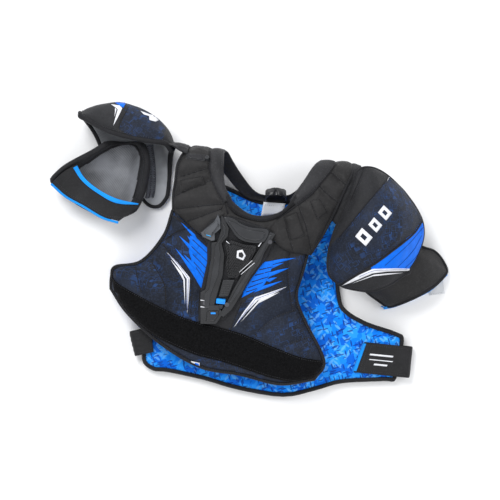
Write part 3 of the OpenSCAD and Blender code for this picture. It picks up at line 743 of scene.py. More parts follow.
CHEST_OUT, CHEST_IN = -6.0, -14.5
CHEST_ACROSS, CHEST_DOWN = 126, 92
chest = patch(CHEST_NET, CHEST_ACROSS, CHEST_DOWN)
chest_n = normals(chest)
chest_at = seen(chest)
left_seams = [soft_line(s) for s in (
    [(-254, 45), (-248, 15), (-242, -7)], [(-224, 50), (-201, 9), (-199, -36)],
    [(-206, 84), (-185, 58), (-154, 15), (-154, -52)], [(-196, 92), (-172, 104), (-158, 110)],
    [(-137, 0), (-139, -30), (-138, -66)])]
right_seams = [soft_line(s) for s in (
    [(-44, -92), (-29, -72), (1, -48), (42, -34)], [(4, -110), (25, -96), (64, -84)],
    [(24, 66), (21, 21), (30, -40)], [(-62, -22), (-78, -60), (-82, -74)])]
frame_zone = [(-128, 92), (-138, 0), (-141, -72), (-92, -78), (-58, -18), (-25, 32), (4, 76), (-25, 104),
              (-90, 112)]
black_zone = [(-130, 96), (-122, 10), (-138, -10), (-141, -78), (-88, -80), (-68, -34), (-44, -8), (-12, 52),
              (62, 66), (62, 90), (-190, 160), (-166, 118)]
# The top edge is left out, because the shoulder pads cover it
d_edge = np.min([arcs(chest)[k] for k in (0, 1, 3)], axis=0)
d_seam = np.min([line_distance(chest_at, s) for s in left_seams + right_seams], axis=0)
d_zone = np.where(inside(chest_at, frame_zone), 0,
                  line_distance(chest_at, np.array(frame_zone + frame_zone[:1])))
chest_hi = np.minimum(pillow(d_seam, 6.0, 7), pillow(d_zone, 6.0, 14)) * np.clip(d_edge / 14, 0, 1) \
    + ripples(chest, 34, 1) * 0.7 + ripples(chest, 13, 2) * 0.25 - 6.5 * np.exp(-d_edge / 3.5) - 0.8
chest_hi = np.where(d_zone < 4, np.minimum(chest_hi, -0.6), chest_hi)
p = Part()
shell(p, chest, chest_n, CHEST_OUT - 1, chest_hi, face_zone(chest, [(black_zone, 1)]), 2, 2)
chest_tree = grid_tree(chest, chest_n, chest_hi)
p.make("chest_cover_pad", [M["mesh"], M["panel"], M["neoprene"]], "front_panel",
       replaces=["chest_cover", "left_chest_plate", "right_chest_plate", "chest_foam"])

p = Part()
lining_lo = CHEST_IN - pillow(np.minimum(d_seam, d_edge), 1.6, 10) + ripples(chest, 30, 3) * 0.5
shell(p, chest, chest_n, lining_lo, CHEST_OUT - 1.05, 1, 1, 0)
p.make("chest_lining_pad", [M["lining"], M["neoprene"]], "front_panel",
       replaces=["chest_liner"])


def chest_edge(step):
    """The chest's free edge, from the right armhole's top round the hem to the left's."""
    idx = [(j, 0) for j in range(0, CHEST_DOWN + 1, step)] \
        + [(CHEST_DOWN, i) for i in range(step, CHEST_ACROSS, step)] \
        + [(j, CHEST_ACROSS) for j in range(CHEST_DOWN, -1, -step)]
    return np.array([chest[j, i] for j, i in idx]), np.array([chest_n[j, i] for j, i in idx])


edge_p, edge_n = chest_edge(2)
chest_middle = np.array([-90.0, -20.0, 70.0])
outward = edge_p - chest_middle
edge_out = unit(outward - (outward * edge_n).sum(1, keepdims=True) * edge_n)
p = Part()
sweep(p, edge_p + edge_n * -8.5 + edge_out * 0.5, edge_n, 8.0, 15.5, 0, sides=14, power=2.4)
stitches(p, edge_p + edge_n * -0.6 - edge_out * 2.2, edge_n, 4.0, 3.0, 0.8, 1, 0.5, 0.1)
p.make("chest_edge_binding", [M["binding"], M["thread"]], "front_panel",
       replaces=["chest_binding"])

# Loop band along the hem, with the strip of mesh below it
band_top = soft_line([(-294, 23), (-283, 11), (-240, -14), (-193, -38), (-162, -51), (-133, -60), (-99, -68),
                      (-58, -80), (-6, -102), (41, -120), (86, -128)])
band_low = soft_line([(-287, -22), (-243, -63), (-214, -84), (-177, -103), (-142, -117), (-99, -128),
                      (-52, -143), (-6, -158), (41, -165), (72, -158)])
band = np.concatenate([band_top, band_low[::-1]])
p = Part()
applique(p, band, chest_tree, 1.9, 2.4, 4.0, 0)
run_stitches(p, band_top + [0.8, -2.6], chest_tree, 1, 2.1, smooth=False, **TOP_STITCH)
run_stitches(p, band_low + [0.8, 3.2], chest_tree, 1, 2.1, smooth=False, **TOP_STITCH)
p.make("hem_loop_band", [M["pile"], M["thread"]], "front_panel",
       replaces=["waist_loop_band"])

p = Part()
# Dark cords sunk into the quilting seams are painted shade for the seam grooves; the lighter stitch rows
# beside them are real stitching that also serves as the painted highlight along each groove
for s in left_seams + right_seams:
    seam(p, s[::4], chest_tree, 2.4, 1.4, 1, -0.3)
    run_stitches(p, s + [1.6, 1.4], chest_tree, 0, 0.3, smooth=False, gap=4.0, length=2.6, thick=0.8)
seam(p, [(-194, 139), (-172, 124), (-150, 108), (-132, 95)], chest_tree, 3.0, 2.4, 1)
seam(p, [(-206, 86), (-190, 98), (-172, 108), (-152, 112)], chest_tree, 2.0, 1.6, 1)
p.make("chest_seams_and_painted_groove_shade", [M["thread"], M["binding"]], "front_panel")

# Prints: slanting bars that taper to points, and thin double chevrons
left_body = [(-155, 98), (-146, 96), (-117, 70), (-116, 60), (-128, 3), (-134, 2), (-143, 16), (-146, 28),
             (-150, 38), (-153, 56), (-157, 68)]
left_tips = [[(-172, 123), (-146, 100), (-140, 88), (-150, 96)],
             [(-160, 98), (-138, 80), (-142, 72), (-152, 82)],
             [(-175, 98), (-148, 76), (-148, 66), (-158, 76)],
             [(-164, 88), (-140, 68), (-144, 60), (-154, 72)],
             [(-166, 64), (-142, 44), (-144, 36), (-154, 46)],
             [(-181, 75), (-150, 42), (-140, 12), (-150, 28)]]
right_body = [(-29, 43), (-20, 51), (-4, 52), (-8, 40), (-12, 24), (-24, 6), (-47, -6), (-62, -14),
              (-59, -3), (-45, 21)]
right_tips = [[(-22, 50), (10, 56), (36, 58), (8, 50), (-14, 44)],
              [(-17, 42), (1, 47), (14, 49), (-2, 41), (-14, 36)],
              [(-14, 31), (3, 36), (24, 40), (1, 29), (-16, 22)], [(-20, 18), (-8, 22), (2, 23), (-12, 14)],
              [(-29, 6), (-11, 11), (12, 17), (-11, 6), (-41, -5)]]
p = Part()
for k, outline in enumerate([left_body, right_body] + left_tips + right_tips):
    applique(p, outline, chest_tree, 0.55 + 0.05 * (k % 4), 0.7, 3.2, 0)
for line in ([(-150, 90), (-119, 62)], [(-152, 78), (-120, 48)], [(-150, 64), (-122, 36)],
             [(-148, 50), (-125, 24)],
             [(-144, 40), (-126, 14)], [(-30, 36), (-6, 42)], [(-38, 26), (-10, 34)], [(-44, 14), (-14, 24)],
             [(-50, 4), (-24, 14)], [(-54, -4), (-34, 3)]):
    (x0, y0), (x1, y1) = line
    applique(p, [(x0, y0 + 1.3), (x1, y1 + 0.2), (x1, y1 - 0.9), (x0, y0 - 0.4)], chest_tree, 0.9, 0.4, 3, 3)
chevrons = [
    [(-197, 68), (-178, 50), (-155, 22), (-157, -10), (-160, -42), (-161, -10), (-161, 20), (-178, 44)],
    [(-190, 55), (-170, 32), (-164, 18), (-164, -26), (-167, 18), (-172, 27)],
    [(19, 6), (-14, -5), (-38, -13), (-56, -36), (-76, -67), (-52, -38), (-33, -19), (-10, -10)],
    [(6, -4), (-14, -11), (-30, -17), (-64, -58), (-32, -24), (-14, -15)]]
for outline in chevrons:
    applique(p, outline, chest_tree, 0.75, 0.8, 3.0, 2)
for line in ([(-194, 64), (-177, 47), (-158, 21)], [(-158, 21), (-159.4, -12), (-160, -36)],
             [(14, 3.5), (-14, -7.5), (-36, -16)], [(-36, -16), (-53, -37), (-70, -60)]):
    seam(p, line, chest_tree, 0.8, 0.8, 1, 0.7)
p.make("chest_prints", [M["print_blue"], M["print_deep"], M["print_white"], M["binding"]], "front_panel")

p = Part()
applique(p, [(-155, -126), (-137, -130), (-137, -143), (-155, -139)], chest_tree, 2.9, 1.2, 3, 0)
applique(p, [(-145, -129), (-138, -130.5), (-138, -137), (-145, -136)], chest_tree, 3.2, 0.5, 3, 1)
p.make("hem_label", [M["label"], M["print_blue"]], "front_panel", replaces=["hem_tag"])

# ---------------------------------------------------------------- back panel

back_edge = loop_curve(BACK_OUTLINE, 4)
back_fill = inset(back_edge, 6.5)
pts, tris = fill(back_fill, 5.0)
p3 = np.column_stack([pts, np.zeros(len(pts))])
lining_seams = [soft_line(s) for s in (
    [(52, -54), (72, -44), (92, -33)], [(132, -54), (118, -80), (92, -145)],
    [(30, 60), (34, 0), (52, -54), (48, -120)],
    [(-110, 150), (-60, 110), (0, 120), (70, 150)], [(-120, 20), (-60, -20), (40, -10)],
    [(-190, -80), (-120, -120), (-40, -150), (40, -165)])]
d_out = line_distance(pts, np.concatenate([back_fill, back_fill[:1]]))
d_in = np.min([line_distance(pts, s) for s in lining_seams], axis=0)
top_z = 16.0 + pillow(d_in, 3.4, 8) * np.clip(d_out / 10, 0, 1) \
    + ripples(p3, 36, 5) * 0.5 + ripples(p3, 15, 6) * 0.2
top_z -= 2.2 * np.exp(-d_out / 4)
under_strap = (pts[:, 0] > 140) & (pts[:, 1] < -95)
top_z = np.where(under_strap | ((pts[:, 0] < -180) & (pts[:, 1] < -60)), np.minimum(top_z, 18.2), top_z)
p = Part()
prism(p, np.column_stack([pts, top_z]), np.column_stack([pts, np.full(len(pts), 9.0)]), tris)
p.make("back_lining_pad", [M["lining"]], "back_panel", replaces=["back_liner"])
low_z = 1.2 + 1.6 * np.exp(-d_out / 5) - np.clip(ripples(p3, 40, 7), -1, 1) * 0.2
low_z += 1.6 * np.exp(-d_in / 4)
p = Part()
prism(p, np.column_stack([pts, np.full(len(pts), 8.9)]), np.column_stack([pts, np.maximum(low_z, 0.3)]),
      tris)
p.make("back_outer_pad", [M["mesh"]], "back_panel",
       replaces=["back_cover", "back_foam", "spine_plate"])
p = Part()
for s in lining_seams:
    keep = s[inside(s, inset(back_edge, 8))]
    z = [top_z[np.argmin(np.linalg.norm(pts - q, axis=1))] for q in keep]
    path = np.column_stack([keep, np.array(z) + 0.25])
    stitches(p, path, upright(path), 4.2, 2.8, 0.7, 0)
p.make("back_quilt_thread", [M["blue_thread"]], "back_panel")

bind = inset(back_edge, 4.4)
p = Part()
path = np.column_stack([bind, np.full(len(bind), 9.2)])
sweep(p, path, upright(path), 8.6, 17.0, 0, True, 14, 2.8)
line = np.column_stack([inset(back_edge, 7.2), np.full(len(bind), 16.6)])
stitches(p, line, upright(line), 4.2, 3.0, 0.8, 1, 0.45)
p.make("back_edge_binding", [M["binding"], M["thread"]], "back_panel",
       replaces=["back_binding"])

# Label behind the neck, and the folded webbing loop
p = Part()
q, f = fill([(-22, 160), (18, 157), (13, 139), (-27, 134)], 4)
z = 21.2 + 0.9 * np.sin(q[:, 0] / 9) + 0.6 * np.cos(q[:, 1] / 6)
prism(p, np.column_stack([q, z + 0.5]), np.column_stack([q, z]), f)
line = [(-20, 154.6, 21.8), (-2, 153.4, 21.2), (16, 152, 22.6)]
stitches(p, line, upright(line), 3.5, 2.4, 0.6, 1, lift=0.7)
neck_label = p.make("neck_care_label", [M["label"], M["thread"]], "back_panel",
                    replaces=["neck_label"])

arch = spline([(-19, -4), (-18.5, 6), (-12, 14), (-4, 16.5), (0, 14.5), (4, 16.5), (12, 14), (18.5, 6),
               (19, -4)],
              np.linspace(0, 1, 49))
across = np.array([0, -0.866, 0.5])
rise = np.array([0, 0.5, 0.866])


def loop_point(x, y, w):
    """A point of the folded webbing: x, y on its arch, and w from -1 to 1 across its width."""
    spread = np.array([2.4 * w * np.sign(x) * (abs(x) < 14), 0, 0])
    return [x, 171, 27] + rise * (y * (1 - 0.1 * abs(w))) + across * 8 * w + spread


g = np.array([[loop_point(x, y, w) for x, y in arch] for w in np.linspace(-1, 1, 9)])
p = Part()
n = normals(g)
n = facing(n, 4, 24, rise)
shell(p, g, n, -1.6, 0.2 + ripples(g, 9, 8) * 0.3)
p.make("hang_loop_webbing", [M["webbing"]], "back_panel", replaces=["hang_loop"])

# ---------------------------------------------------------------- shoulders: single pads folded over

YOKE_BLEND = ("back_panel", "front_panel", (0, 0, 0.005), (0, 0, 0.080))


def yoke(name, net, seams, fold_seams, seed, replaces):
    g = patch(net, 44, 84)
    n = normals(g)
    n = facing(n, 4, 20)
    cv = arcs(g)[2]
    at = seen(g)
    d = edge_distance(g)
    s = np.min([line_distance(at, soft_line(x)) for x in seams], axis=0)
    s = np.where(n[..., 2] > 0.25, s, 30)
    for v in fold_seams:
        s = np.minimum(s, np.abs(cv - cv[int(v * 84)]))
    hi = np.minimum(pillow(s, 8.0, 7), pillow(d, 8.0, 7)) - 3.8 \
        + ripples(g, 30, seed) * 0.8 + ripples(g, 12, seed + 1) * 0.3
    thick = np.interp(np.linspace(0, 1, 85), [0, 0.35, 0.7, 1], [6, 12, 11, 7.5])[:, None] \
        * np.clip(0.35 + d / 9, 0.35, 1)
    p = Part()
    shell(p, g, n, hi * 0 - thick, np.maximum(hi, -thick + 2.5), 0, 0, 1)
    tree = grid_tree(g, n, np.maximum(hi, -thick + 2.5))
    # Dark cords sunk into the quilting seams are painted shade for the seam grooves; the lighter stitch rows
    # beside them are real stitching that also serves as the painted highlight along each groove
    for x in seams:
        seam(p, x, tree, 2.2, 1.2, 3, -0.2)
        run_stitches(p, np.array(x, float) + [1.6, 1.4], tree, 2, 0.3, **TOP_STITCH)
    for col in (0, 44):
        path = (g + n * -3.5)[::2, col]
        sweep(p, path, n[::2, col], 5.0, 8.5, 3, sides=10)
        stitches(p, (g + n * np.maximum(hi, -2)[..., None])[:, 2 if col == 0 else 42], n[:, col], 4.0, 2.8,
                 0.8, 2, 0.4, 0.3)
    p.make(name, [M["nylon"], M["tricot"], M["thread"], M["binding"]], blend=YOKE_BLEND,
           replaces=replaces)
    return tree


left_rows = [[(-185, 144, 82), (-157, 118, 90), (-127, 97, 99), (-103, 117, 104), (-86, 136, 105)],
             [(-184, 170, 90), (-157, 152, 96), (-130, 139, 101), (-107, 146, 104), (-92, 155, 104)],
             [(-180, 192, 98), (-157, 184, 102), (-135, 178, 103), (-120, 180, 103),
              (-106, 184, 103)]] + fold_rows(
    [(80, -178, -119, 50), (60, -174, -120, 50), (40, -168, -122, 50), (20, -163, -122, 50),
     (0, -162, -116, 49),
     (-22, -165, -108, 47), (-45, -168, -102, 45), (-68, -170, -99, 43), (-88, -170, -98, 42)], 4)
left_yoke_tree = yoke("left_yoke_pad", left_rows, [
    [(-188, 167), (-150, 184), (-112, 199)], [(-184, 146), (-137, 151), (-94, 155)],
    [(-160, 124), (-123, 137), (-88, 150)], [(-172, 204), (-140, 214), (-114, 222)]], (0.66, 0.84), 20,
    ["left_yoke_front", "left_yoke_back"])
right_rows = [[(0, 126, 107), (-12, 104, 106), (12, 74, 103), (60, 63, 90)],
              [(34, 150, 106), (41, 129, 106), (59, 107, 102), (86, 104, 94)],
              [(62, 172, 105), (76, 163, 105), (92, 154, 102), (107, 146, 97)]] + fold_rows(
    [(80, 79, 125, 50), (60, 90, 131, 50), (40, 98, 135, 50), (20, 101, 136, 50), (0, 97, 135, 49),
     (-22, 91, 134, 47), (-45, 88, 134, 45), (-68, 86, 134, 43), (-88, 84, 132, 42)], 3)
right_yoke_tree = yoke("right_yoke_pad", right_rows, [
    [(74, 192), (88, 176), (112, 156)], [(40, 150), (54, 112), (64, 66)], [(10, 136), (22, 99), (31, 66)],
    [(96, 214), (112, 200), (126, 188)]],
    (0.66, 0.84), 30, ["right_yoke_front", "right_yoke_back"])

# Raised blocks sewn on the shoulder pads


def raised(part, corners, tree, height, mat=0):
    """A small padded block over four plane corners, in order round it."""
    a, b, c, e = (np.array(q, float) for q in corners)
    rows, ups = [], []
    for v in np.linspace(0, 1, 20):
        row = [(a + (b - a) * u) * (1 - v) + (e + (c - e) * u) * v for u in np.linspace(0, 1, 20)]
        hits = lay(np.array(row), tree)
        if not all(hits):
            return
        rows.append([h[0] for h in hits])
        ups.append([h[1] for h in hits])
    g, n = np.array(rows, float), np.array(ups, float)
    for _ in range(6):
        n[1:-1, 1:-1] = unit(n[1:-1, 1:-1] + n[2:, 1:-1] + n[:-2, 1:-1] + n[1:-1, 2:] + n[1:-1, :-2])
        g[1:-1, 1:-1] = (2 * g[1:-1, 1:-1] + g[2:, 1:-1] + g[:-2, 1:-1] + g[1:-1, 2:] + g[1:-1, :-2]) / 6
    d = edge_distance(g)
    shell(part, g, n, -1.5, pillow(d, height, 2.6) + ripples(g, 14, 35) * 0.3, mat)
    edge = np.concatenate([g[1, 1:-1], g[1:-1, -2], g[-2, -2:0:-1], g[-2:0:-1, 1]])
    edge_n = np.concatenate([n[1, 1:-1], n[1:-1, -2], n[-2, -2:0:-1], n[-2:0:-1, 1]])
    stitches(part, edge + edge_n * height * 0.45, edge_n, 4.0, 2.6, 0.7, 1, 0, 0.3)


p = Part()
raised(p, [(13, 132), (38, 142), (52, 98), (25, 88)], right_yoke_tree, 5.0)
raised(p, [(60, 160), (78, 166), (94, 140), (74, 126)], right_yoke_tree, 4.0)
p.make("right_yoke_blocks", [M["nylon"], M["thread"]], "front_panel")
p = Part()
raised(p, [(-174, 198), (-132, 206), (-126, 190), (-172, 176)], left_yoke_tree, 3.6)
p.make("left_yoke_blocks", [M["nylon"], M["thread"]], "front_panel")

# Smooth collar, from the front of one shoulder round behind the neck to the other
FOLD_RADIUS = 50
free = [(-79, 163, 104), (-90, 184, 104), fold_point(-95, 80, FOLD_RADIUS), fold_point(-96, 60, FOLD_RADIUS),
        fold_point(-97, 40, FOLD_RADIUS), fold_point(-97, 20, FOLD_RADIUS), (-86, 250, 54), (-77, 234, 42),
        (-65, 215, 35), (-43, 186, 27), (-25, 175, 24), (-1, 173, 24), (26, 175, 25), (48, 192, 29),
        (66, 211, 37), (78, 228, 51), fold_point(71, 20, FOLD_RADIUS), fold_point(64, 40, FOLD_RADIUS),
        fold_point(56, 60, FOLD_RADIUS), fold_point(48, 80, FOLD_RADIUS), (33, 175, 105), (23, 160, 105)]
bound = [(-94, 153, 103), (-111, 182, 101.5), fold_point(-122, 80, FOLD_RADIUS - 1),
         fold_point(-122, 60, FOLD_RADIUS), fold_point(-124, 40, FOLD_RADIUS),
         fold_point(-124, 20, FOLD_RADIUS), (-115, 247, 48), (-104, 229, 30), (-88, 206, 23), (-60, 174, 18),
         (-38, 164, 17), (-1, 159, 17), (38, 164, 17), (64, 179, 18), (86, 201, 25), (101, 223, 44),
         fold_point(104, 20, FOLD_RADIUS), fold_point(101, 40, FOLD_RADIUS), fold_point(93, 60, FOLD_RADIUS),
         fold_point(82, 80, FOLD_RADIUS), (62, 172, 105), (34, 150, 106)]
free, bound = np.array([np.array(q, float) for q in free]), np.array([np.array(q, float) for q in bound])
out = unit((free + bound) / 2 - [-10, 150, 40])
net = np.array([free, free * 0.66 + bound * 0.34 + out * 2.2, free * 0.33 + bound * 0.67 + out * 2.2, bound])
g = patch(net, 260, 16)
n = normals(g)
n = facing(n, 8, 4)
_, _, cv, cv2 = arcs(g)
hi = pillow(np.minimum(cv, cv2), 3.4, 4) - 1.6 + ripples(g, 34, 40) * 0.6
p = Part()
shell(p, g, n, -3.4 - hi * 0, hi)
stitches(p, (g + n * hi[..., None])[14], n[14], 4.2, 2.8, 0.8, 1, 0, 0.3)
stitches(p, (g + n * hi[..., None])[2], n[2], 4.2, 2.8, 0.8, 1, 0, 0.3)
p.make("neoprene_collar", [M["neoprene"], M["thread"]],
       blend=("back_panel", "front_panel", (0, 0, 0.022), (0, 0, 0.095)),
       replaces=["back_collar", "left_collar_front", "right_collar_front"])

# Ribbed binding round the front neckline
neck = [[(-84, 172, 104), (-78, 160, 105), (-68, 150, 107), (-49, 137, 108), (-28, 133, 108), (-6, 136, 108),
         (10, 143, 108), (24, 158, 106), (32, 172, 105)],
        [(-91, 162, 105), (-85, 147, 106), (-72, 134, 108), (-51, 126, 109), (-28, 122, 109), (-6, 126, 109),
         (8, 133, 109), (24, 146, 107), (38, 158, 106)]]
g = patch([neck[0], (np.array(neck[0]) + neck[1]) / 2 + [0, 0, 2.0], neck[1]], 120, 10)
n = normals(g)
n = facing(n, 5, 60)
cu, _, cv, cv2 = arcs(g)
ribs = 0.5 * np.sin(cu / 3.6 * 2 * math.pi)
hi = pillow(np.minimum(cv, cv2), 3.0, 3) - 1.2 + ribs * np.clip(np.minimum(cv, cv2) / 2.5, 0, 1)
p = Part()
shell(p, g, n, -4.5, hi)
stitches(p, (g + n * hi[..., None])[2], n[2], 3.6, 3.0, 0.8, 1, 0.6, 0.3)
stitches(p, (g + n * hi[..., None])[8], n[8], 3.6, 3.0, 0.8, 1, 0.6, 0.3)
p.make("front_neck_binding", [M["binding"], M["thread"]], "front_panel",
       replaces=["neck_binding"])

# Pad between the neckline and the chest panel
neck_top = (np.array(neck[0], float) + neck[1]) / 2 - [0, 0, 3.5]
neck_low = np.array([(-106, 118, 100), (-93, 108, 101), (-76, 99, 101), (-54, 94, 101), (-30, 92, 101),
                     (-6, 88, 100), (12, 86, 100), (30, 98, 101), (48, 110, 101)], float)
g = patch([neck_top, (neck_top * 2 + neck_low) / 3 + [0, 0, 2.5],
           (neck_top + neck_low * 2) / 3 + [0, 0, 2.5], neck_low], 90, 24)
n = normals(g)
n = facing(n, 10, 45)
p = Part()
shell(p, g, n, -6.0, ripples(g, 22, 44) * 0.5 + pillow(np.minimum(arcs(g)[2], arcs(g)[3]), 2.0, 5) - 1.0)
p.make("front_neck_pad", [M["nylon"]], "front_panel")

# ---------------------------------------------------------------- breast frame

FRAME_AT = Vector((-0.090, 0.040, 0.096))
FRAME_M = Matrix.Translation(FRAME_AT) @ Matrix.Rotation(math.radians(10), 4, "X")


def block(name, shapes, materials, replaces=(), edge=1.3, segments=3, body="front_panel",
          matrix=FRAME_M):
    """Moulded pieces from outlines: (outline, low z, high z, material, draw-in of the top)."""
    bm = bmesh.new()
    for outline, z0, z1, mat, draw in shapes:
        c = np.mean(outline, axis=0)
        ring = np.asarray(outline, float)
        top = ring + unit(c - ring) * draw
        low = [bm.verts.new((x * MM, y * MM, z0 * MM)) for x, y in ring]
        high = [bm.verts.new((x * MM, y * MM, z1 * MM)) for x, y in top]
        k = len(low)
        faces = [bm.faces.new(low[::-1]), bm.faces.new(high)]
        faces += [bm.faces.new((low[i], low[(i + 1) % k], high[(i + 1) % k], high[i])) for i in range(k)]
        for f in faces:
            f.material_index = mat
    bmesh.ops.recalc_face_normals(bm, faces=bm.faces)
    mesh = bpy.data.meshes.new(name)
    bm.to_mesh(mesh)
    bm.free()
    mesh.transform(matrix)
    layer = mesh.uv_layers.new(name="UVMap")
    for loop in mesh.loops:
        co = mesh.vertices[loop.vertex_index].co
        layer.data[loop.index].uv = (co.x, co.y)
    obj = bpy.data.objects.new(name, mesh)
    bpy.context.scene.collection.objects.link(obj)
    for m in materials:
        mesh.materials.append(m)
    mod = obj.modifiers.new("Bevel", "BEVEL")
    mod.width, mod.segments = edge * MM, segments
    mod.limit_method, mod.angle_limit = "ANGLE", math.radians(25)
    mod.harden_normals = False
    for poly in mesh.polygons:
        poly.use_smooth = False
    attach(obj, body)
    if replaces:
        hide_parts(*replaces)
    return obj


def bar(x0, y0, x1, y1, w0, w1=None):
    """A long thin outline between two points, w0 wide at the first and w1 at the second."""
    w1 = w0 if w1 is None else w1
    a, b = np.array([x0, y0], float), np.array([x1, y1], float)
    t = unit(b - a)
    s = np.array([-t[1], t[0]])
    return [a - s * w0 / 2, b - s * w1 / 2, b + s * w1 / 2, a + s * w0 / 2]


left_leg = [(-8, 95), (-1, 90), (6, 72), (4, 58), (-7, 46), (-2, 24), (-5, -12), (-19, -60), (-22, -76),
            (-32, -92), (-45, -96), (-45, -44), (-36, -38), (-26, 18), (-25, 34), (-25, 47), (-15, 48),
            (-8, 68)]
right_leg = [(88, 62), (78, 66), (66, 46), (52, 24), (31, -6), (12, -40), (2, -62), (-12, -84), (-4, -88),
             (10, -75), (30, -42), (44, -15), (61, 9), (69, 30)]
ridge_l = [(-6, 84), (1, 74), (0, 62), (-12, 46), (-9, 24), (-13, -12), (-28, -50), (-30, -72), (-38, -72),
           (-38, -46), (-30, -38), (-20, 18), (-18, 42), (-4, 62)]
ridge_r = [(82, 61), (76, 60), (56, 24), (36, -8), (16, -42), (6, -60), (10, -62), (24, -42), (42, -12),
           (62, 22)]
under = [(-24, 88), (-46, 62), (-34, 46), (-34, 10), (-45, -40), (-50, -98), (-2, -98), (16, -70), (48, -20),
         (76, 20), (92, 60), (78, 72), (48, 82), (10, 94)]
block("frame_base_pad", [(under, -7, -0.4, 0, 3.0)], [M["panel"]], edge=2.5)
block("sternum_frame_shell", [
    (left_leg, -1, 5.2, 0, 0.4), (right_leg, -1, 5.2, 0, 0.4), (ridge_l, 4.8, 7.0, 1, 1.1),
    (ridge_r, 4.8, 6.8, 1, 0.9),
    ([(-30, -73), (-6, -73), (-4, -66), (-28, -66)], 0, 4.6, 0, 0.3)],
    [M["frame"], M["satin"]], ["sternum_frame"])
block("grey_corner_insert", [
    ([(-13, 97), (-20, 84), (-44, 64), (-41, 57), (-25, 49), (-19, 50), (-19, 62), (-8, 72), (-9, 88)], 0,
     6.6, 0, 1.0),
    ([(-14, 88), (-38, 65), (-36, 61), (-26, 56), (-23, 64), (-12, 74)], 6.2, 8.4, 0, 1.4),
    (bar(-34, 61, -26, 58.5, 1.1), 8.2, 8.7, 1, 0), (bar(-24, 60, -20, 68, 1.6), 8.2, 8.9, 2, 0),
    (bar(-20, 68, -11, 80, 1.6), 8.0, 8.8, 2, 0)], [M["grey"], M["blue"], M["satin"]],
    ["grey_insert"], 0.9)
outer = loop_curve([(-4, 92), (12, 91), (26, 82), (50, 74), (74, 71), (77, 62), (69, 48), (55, 45), (32, 48),
                    (17, 58), (8, 72)], 3)
inner = loop_curve([(4, 86), (14, 84), (28, 76), (50, 69), (68, 66), (70, 61), (65, 53), (54, 50), (34, 53),
                    (21, 62), (12, 74)], 3)
block("collar_bar_cap", [(outer, -1, 8.4, 0, 1.8), (inner, 8.2, 10.6, 0, 2.2)], [M["satin"]],
      ["collar_bar"], 1.6, 4)
centre = [(-2, 46), (10, 52), (34, 44), (54, 42), (54, 34), (43, 10), (31, -3), (20, -17), (4, -17), (-1, 8),
          (2, 24)]
step_in = [(4, 40), (12, 45), (34, 38), (49, 37), (49, 32), (39, 10), (28, -1), (18, -13), (7, -13), (4, 8),
           (6, 24)]
ribs = [(bar(4 + 2.6 * k, -9 + 4.4 * k, 15 + 3.0 * k, -12 + 4.6 * k, 1.5), 8.6, 10.0, 0,
         0) for k in range(11)]
emblem = [([(19, 20), (31, 15), (36, 24), (30, 35), (20, 33)], 9.4, 11.0, 1, 1.4),
          ([(22.5, 22.5), (29.5, 19.5), (32.5, 25), (29, 31), (23, 30)], 10.6, 11.6, 2, 0.8)]
glints = [(bar(1, 50, 7, 45, 1.5, 0.6), 8.2, 9.2, 1, 0), (bar(58, 40, 66, 52, 1.6, 0.7), 6.4, 8.0, 1, 0),
          (bar(24, -6, 47, 15, 0.9), 7.2, 8.4, 1, 0), (bar(27, -10, 51, 11, 0.9), 7.2, 8.2, 1, 0)]
block("sternum_centre_pad", [(centre, -1, 7.0, 0, 1.0),
                             (step_in, 6.8, 9.0, 0, 1.2)] + ribs + emblem + glints,
      [M["ribbed"], M["print_white"], M["gloss"]], ["sternum_pad"], 0.6, 2)
tongue = [(-5, -20), (16, -20), (5, -49), (-13, -51)]
block("sternum_tongue_ribbed", [(tongue, -1, 5.4, 0, 0.8)]
      + [(bar(-3.5 - 0.9 * k, -24 - 3.2 * k, 13 - 1.2 * k, -24 - 3.1 * k, 1.4), 5.0, 6.4, 0,
          0) for k in range(9)],
      [M["frame"]], ["sternum_tongue"], 0.5, 2)
block("buckle_pull_tab", [([(-17, -54), (0, -56), (-1, -65), (-18, -63)], -1, 6.0, 0, 0.8),
                          ([(-15, -56), (-3, -57.5), (-3.5, -62), (-15.5, -61)], 5.8, 6.8, 0, 0.6)],
      [M["blue"]], ["buckle_tab"], 0.7)
block("sternum_buckle_body", [
    ([(-46, -74), (-8, -74), (-6, -84), (-17, -101), (-46, -101)], -3, 4.6, 0, 1.0),
    ([(-34, -76), (-12, -76), (-12, -84), (-20, -96), (-36, -96)], 4.4, 7.0, 1, 1.6),
    ([(-32, -66), (-12, -66), (-10, -76), (-34, -76)], 3, 6.6, 0, 1.2),
    (bar(-27, -80.5, -18, -80.5, 3.2), 6.6, 7.8, 2, 0.3),
    # The two thin tapering white bars beside the buckle are painted glints, drawn with the white print
    # finish
    (bar(-45, -57, -37, -58, 1.8, 1.2), 3.4, 5.6, 3, 0),
    (bar(-45, -69, -37, -70, 1.8, 1.2), 4.0, 5.8, 3, 0)],
      [M["frame"], M["gloss"], M["blue"], M["print_white"]], ["sternum_buckle"], 0.8)

# Shoulder tab with its button
tab_at = Matrix.Translation(Vector(fold_point(-146, 58, 51.0) * MM))
tab_m = tab_at @ Matrix.Rotation(math.radians(-6), 4, "Z") @ Matrix.Rotation(math.radians(-32), 4, "X")
block("shoulder_tab_webbing", [
    ([(-19, -6), (15, -7), (17, -5), (17, 6), (15, 7.5), (-19, 6.5)], -3.0, 3.2, 0, 0.6),
    ([(-15, -3.6), (12, -4.4), (12, 5), (-15, 4)], 3.0, 4.2, 0, 0.8),
    ([(19 + 4.6 * math.cos(k * math.pi / 7), 4.6 * math.sin(k * math.pi / 7)) for k in range(14)], -3.5, 6.5,
     1, 0.9)],
      [M["webbing"], M["satin"]], ["shoulder_tab"], 1.0, 3, "front_panel", tab_m)

# ---------------------------------------------------------------- caps


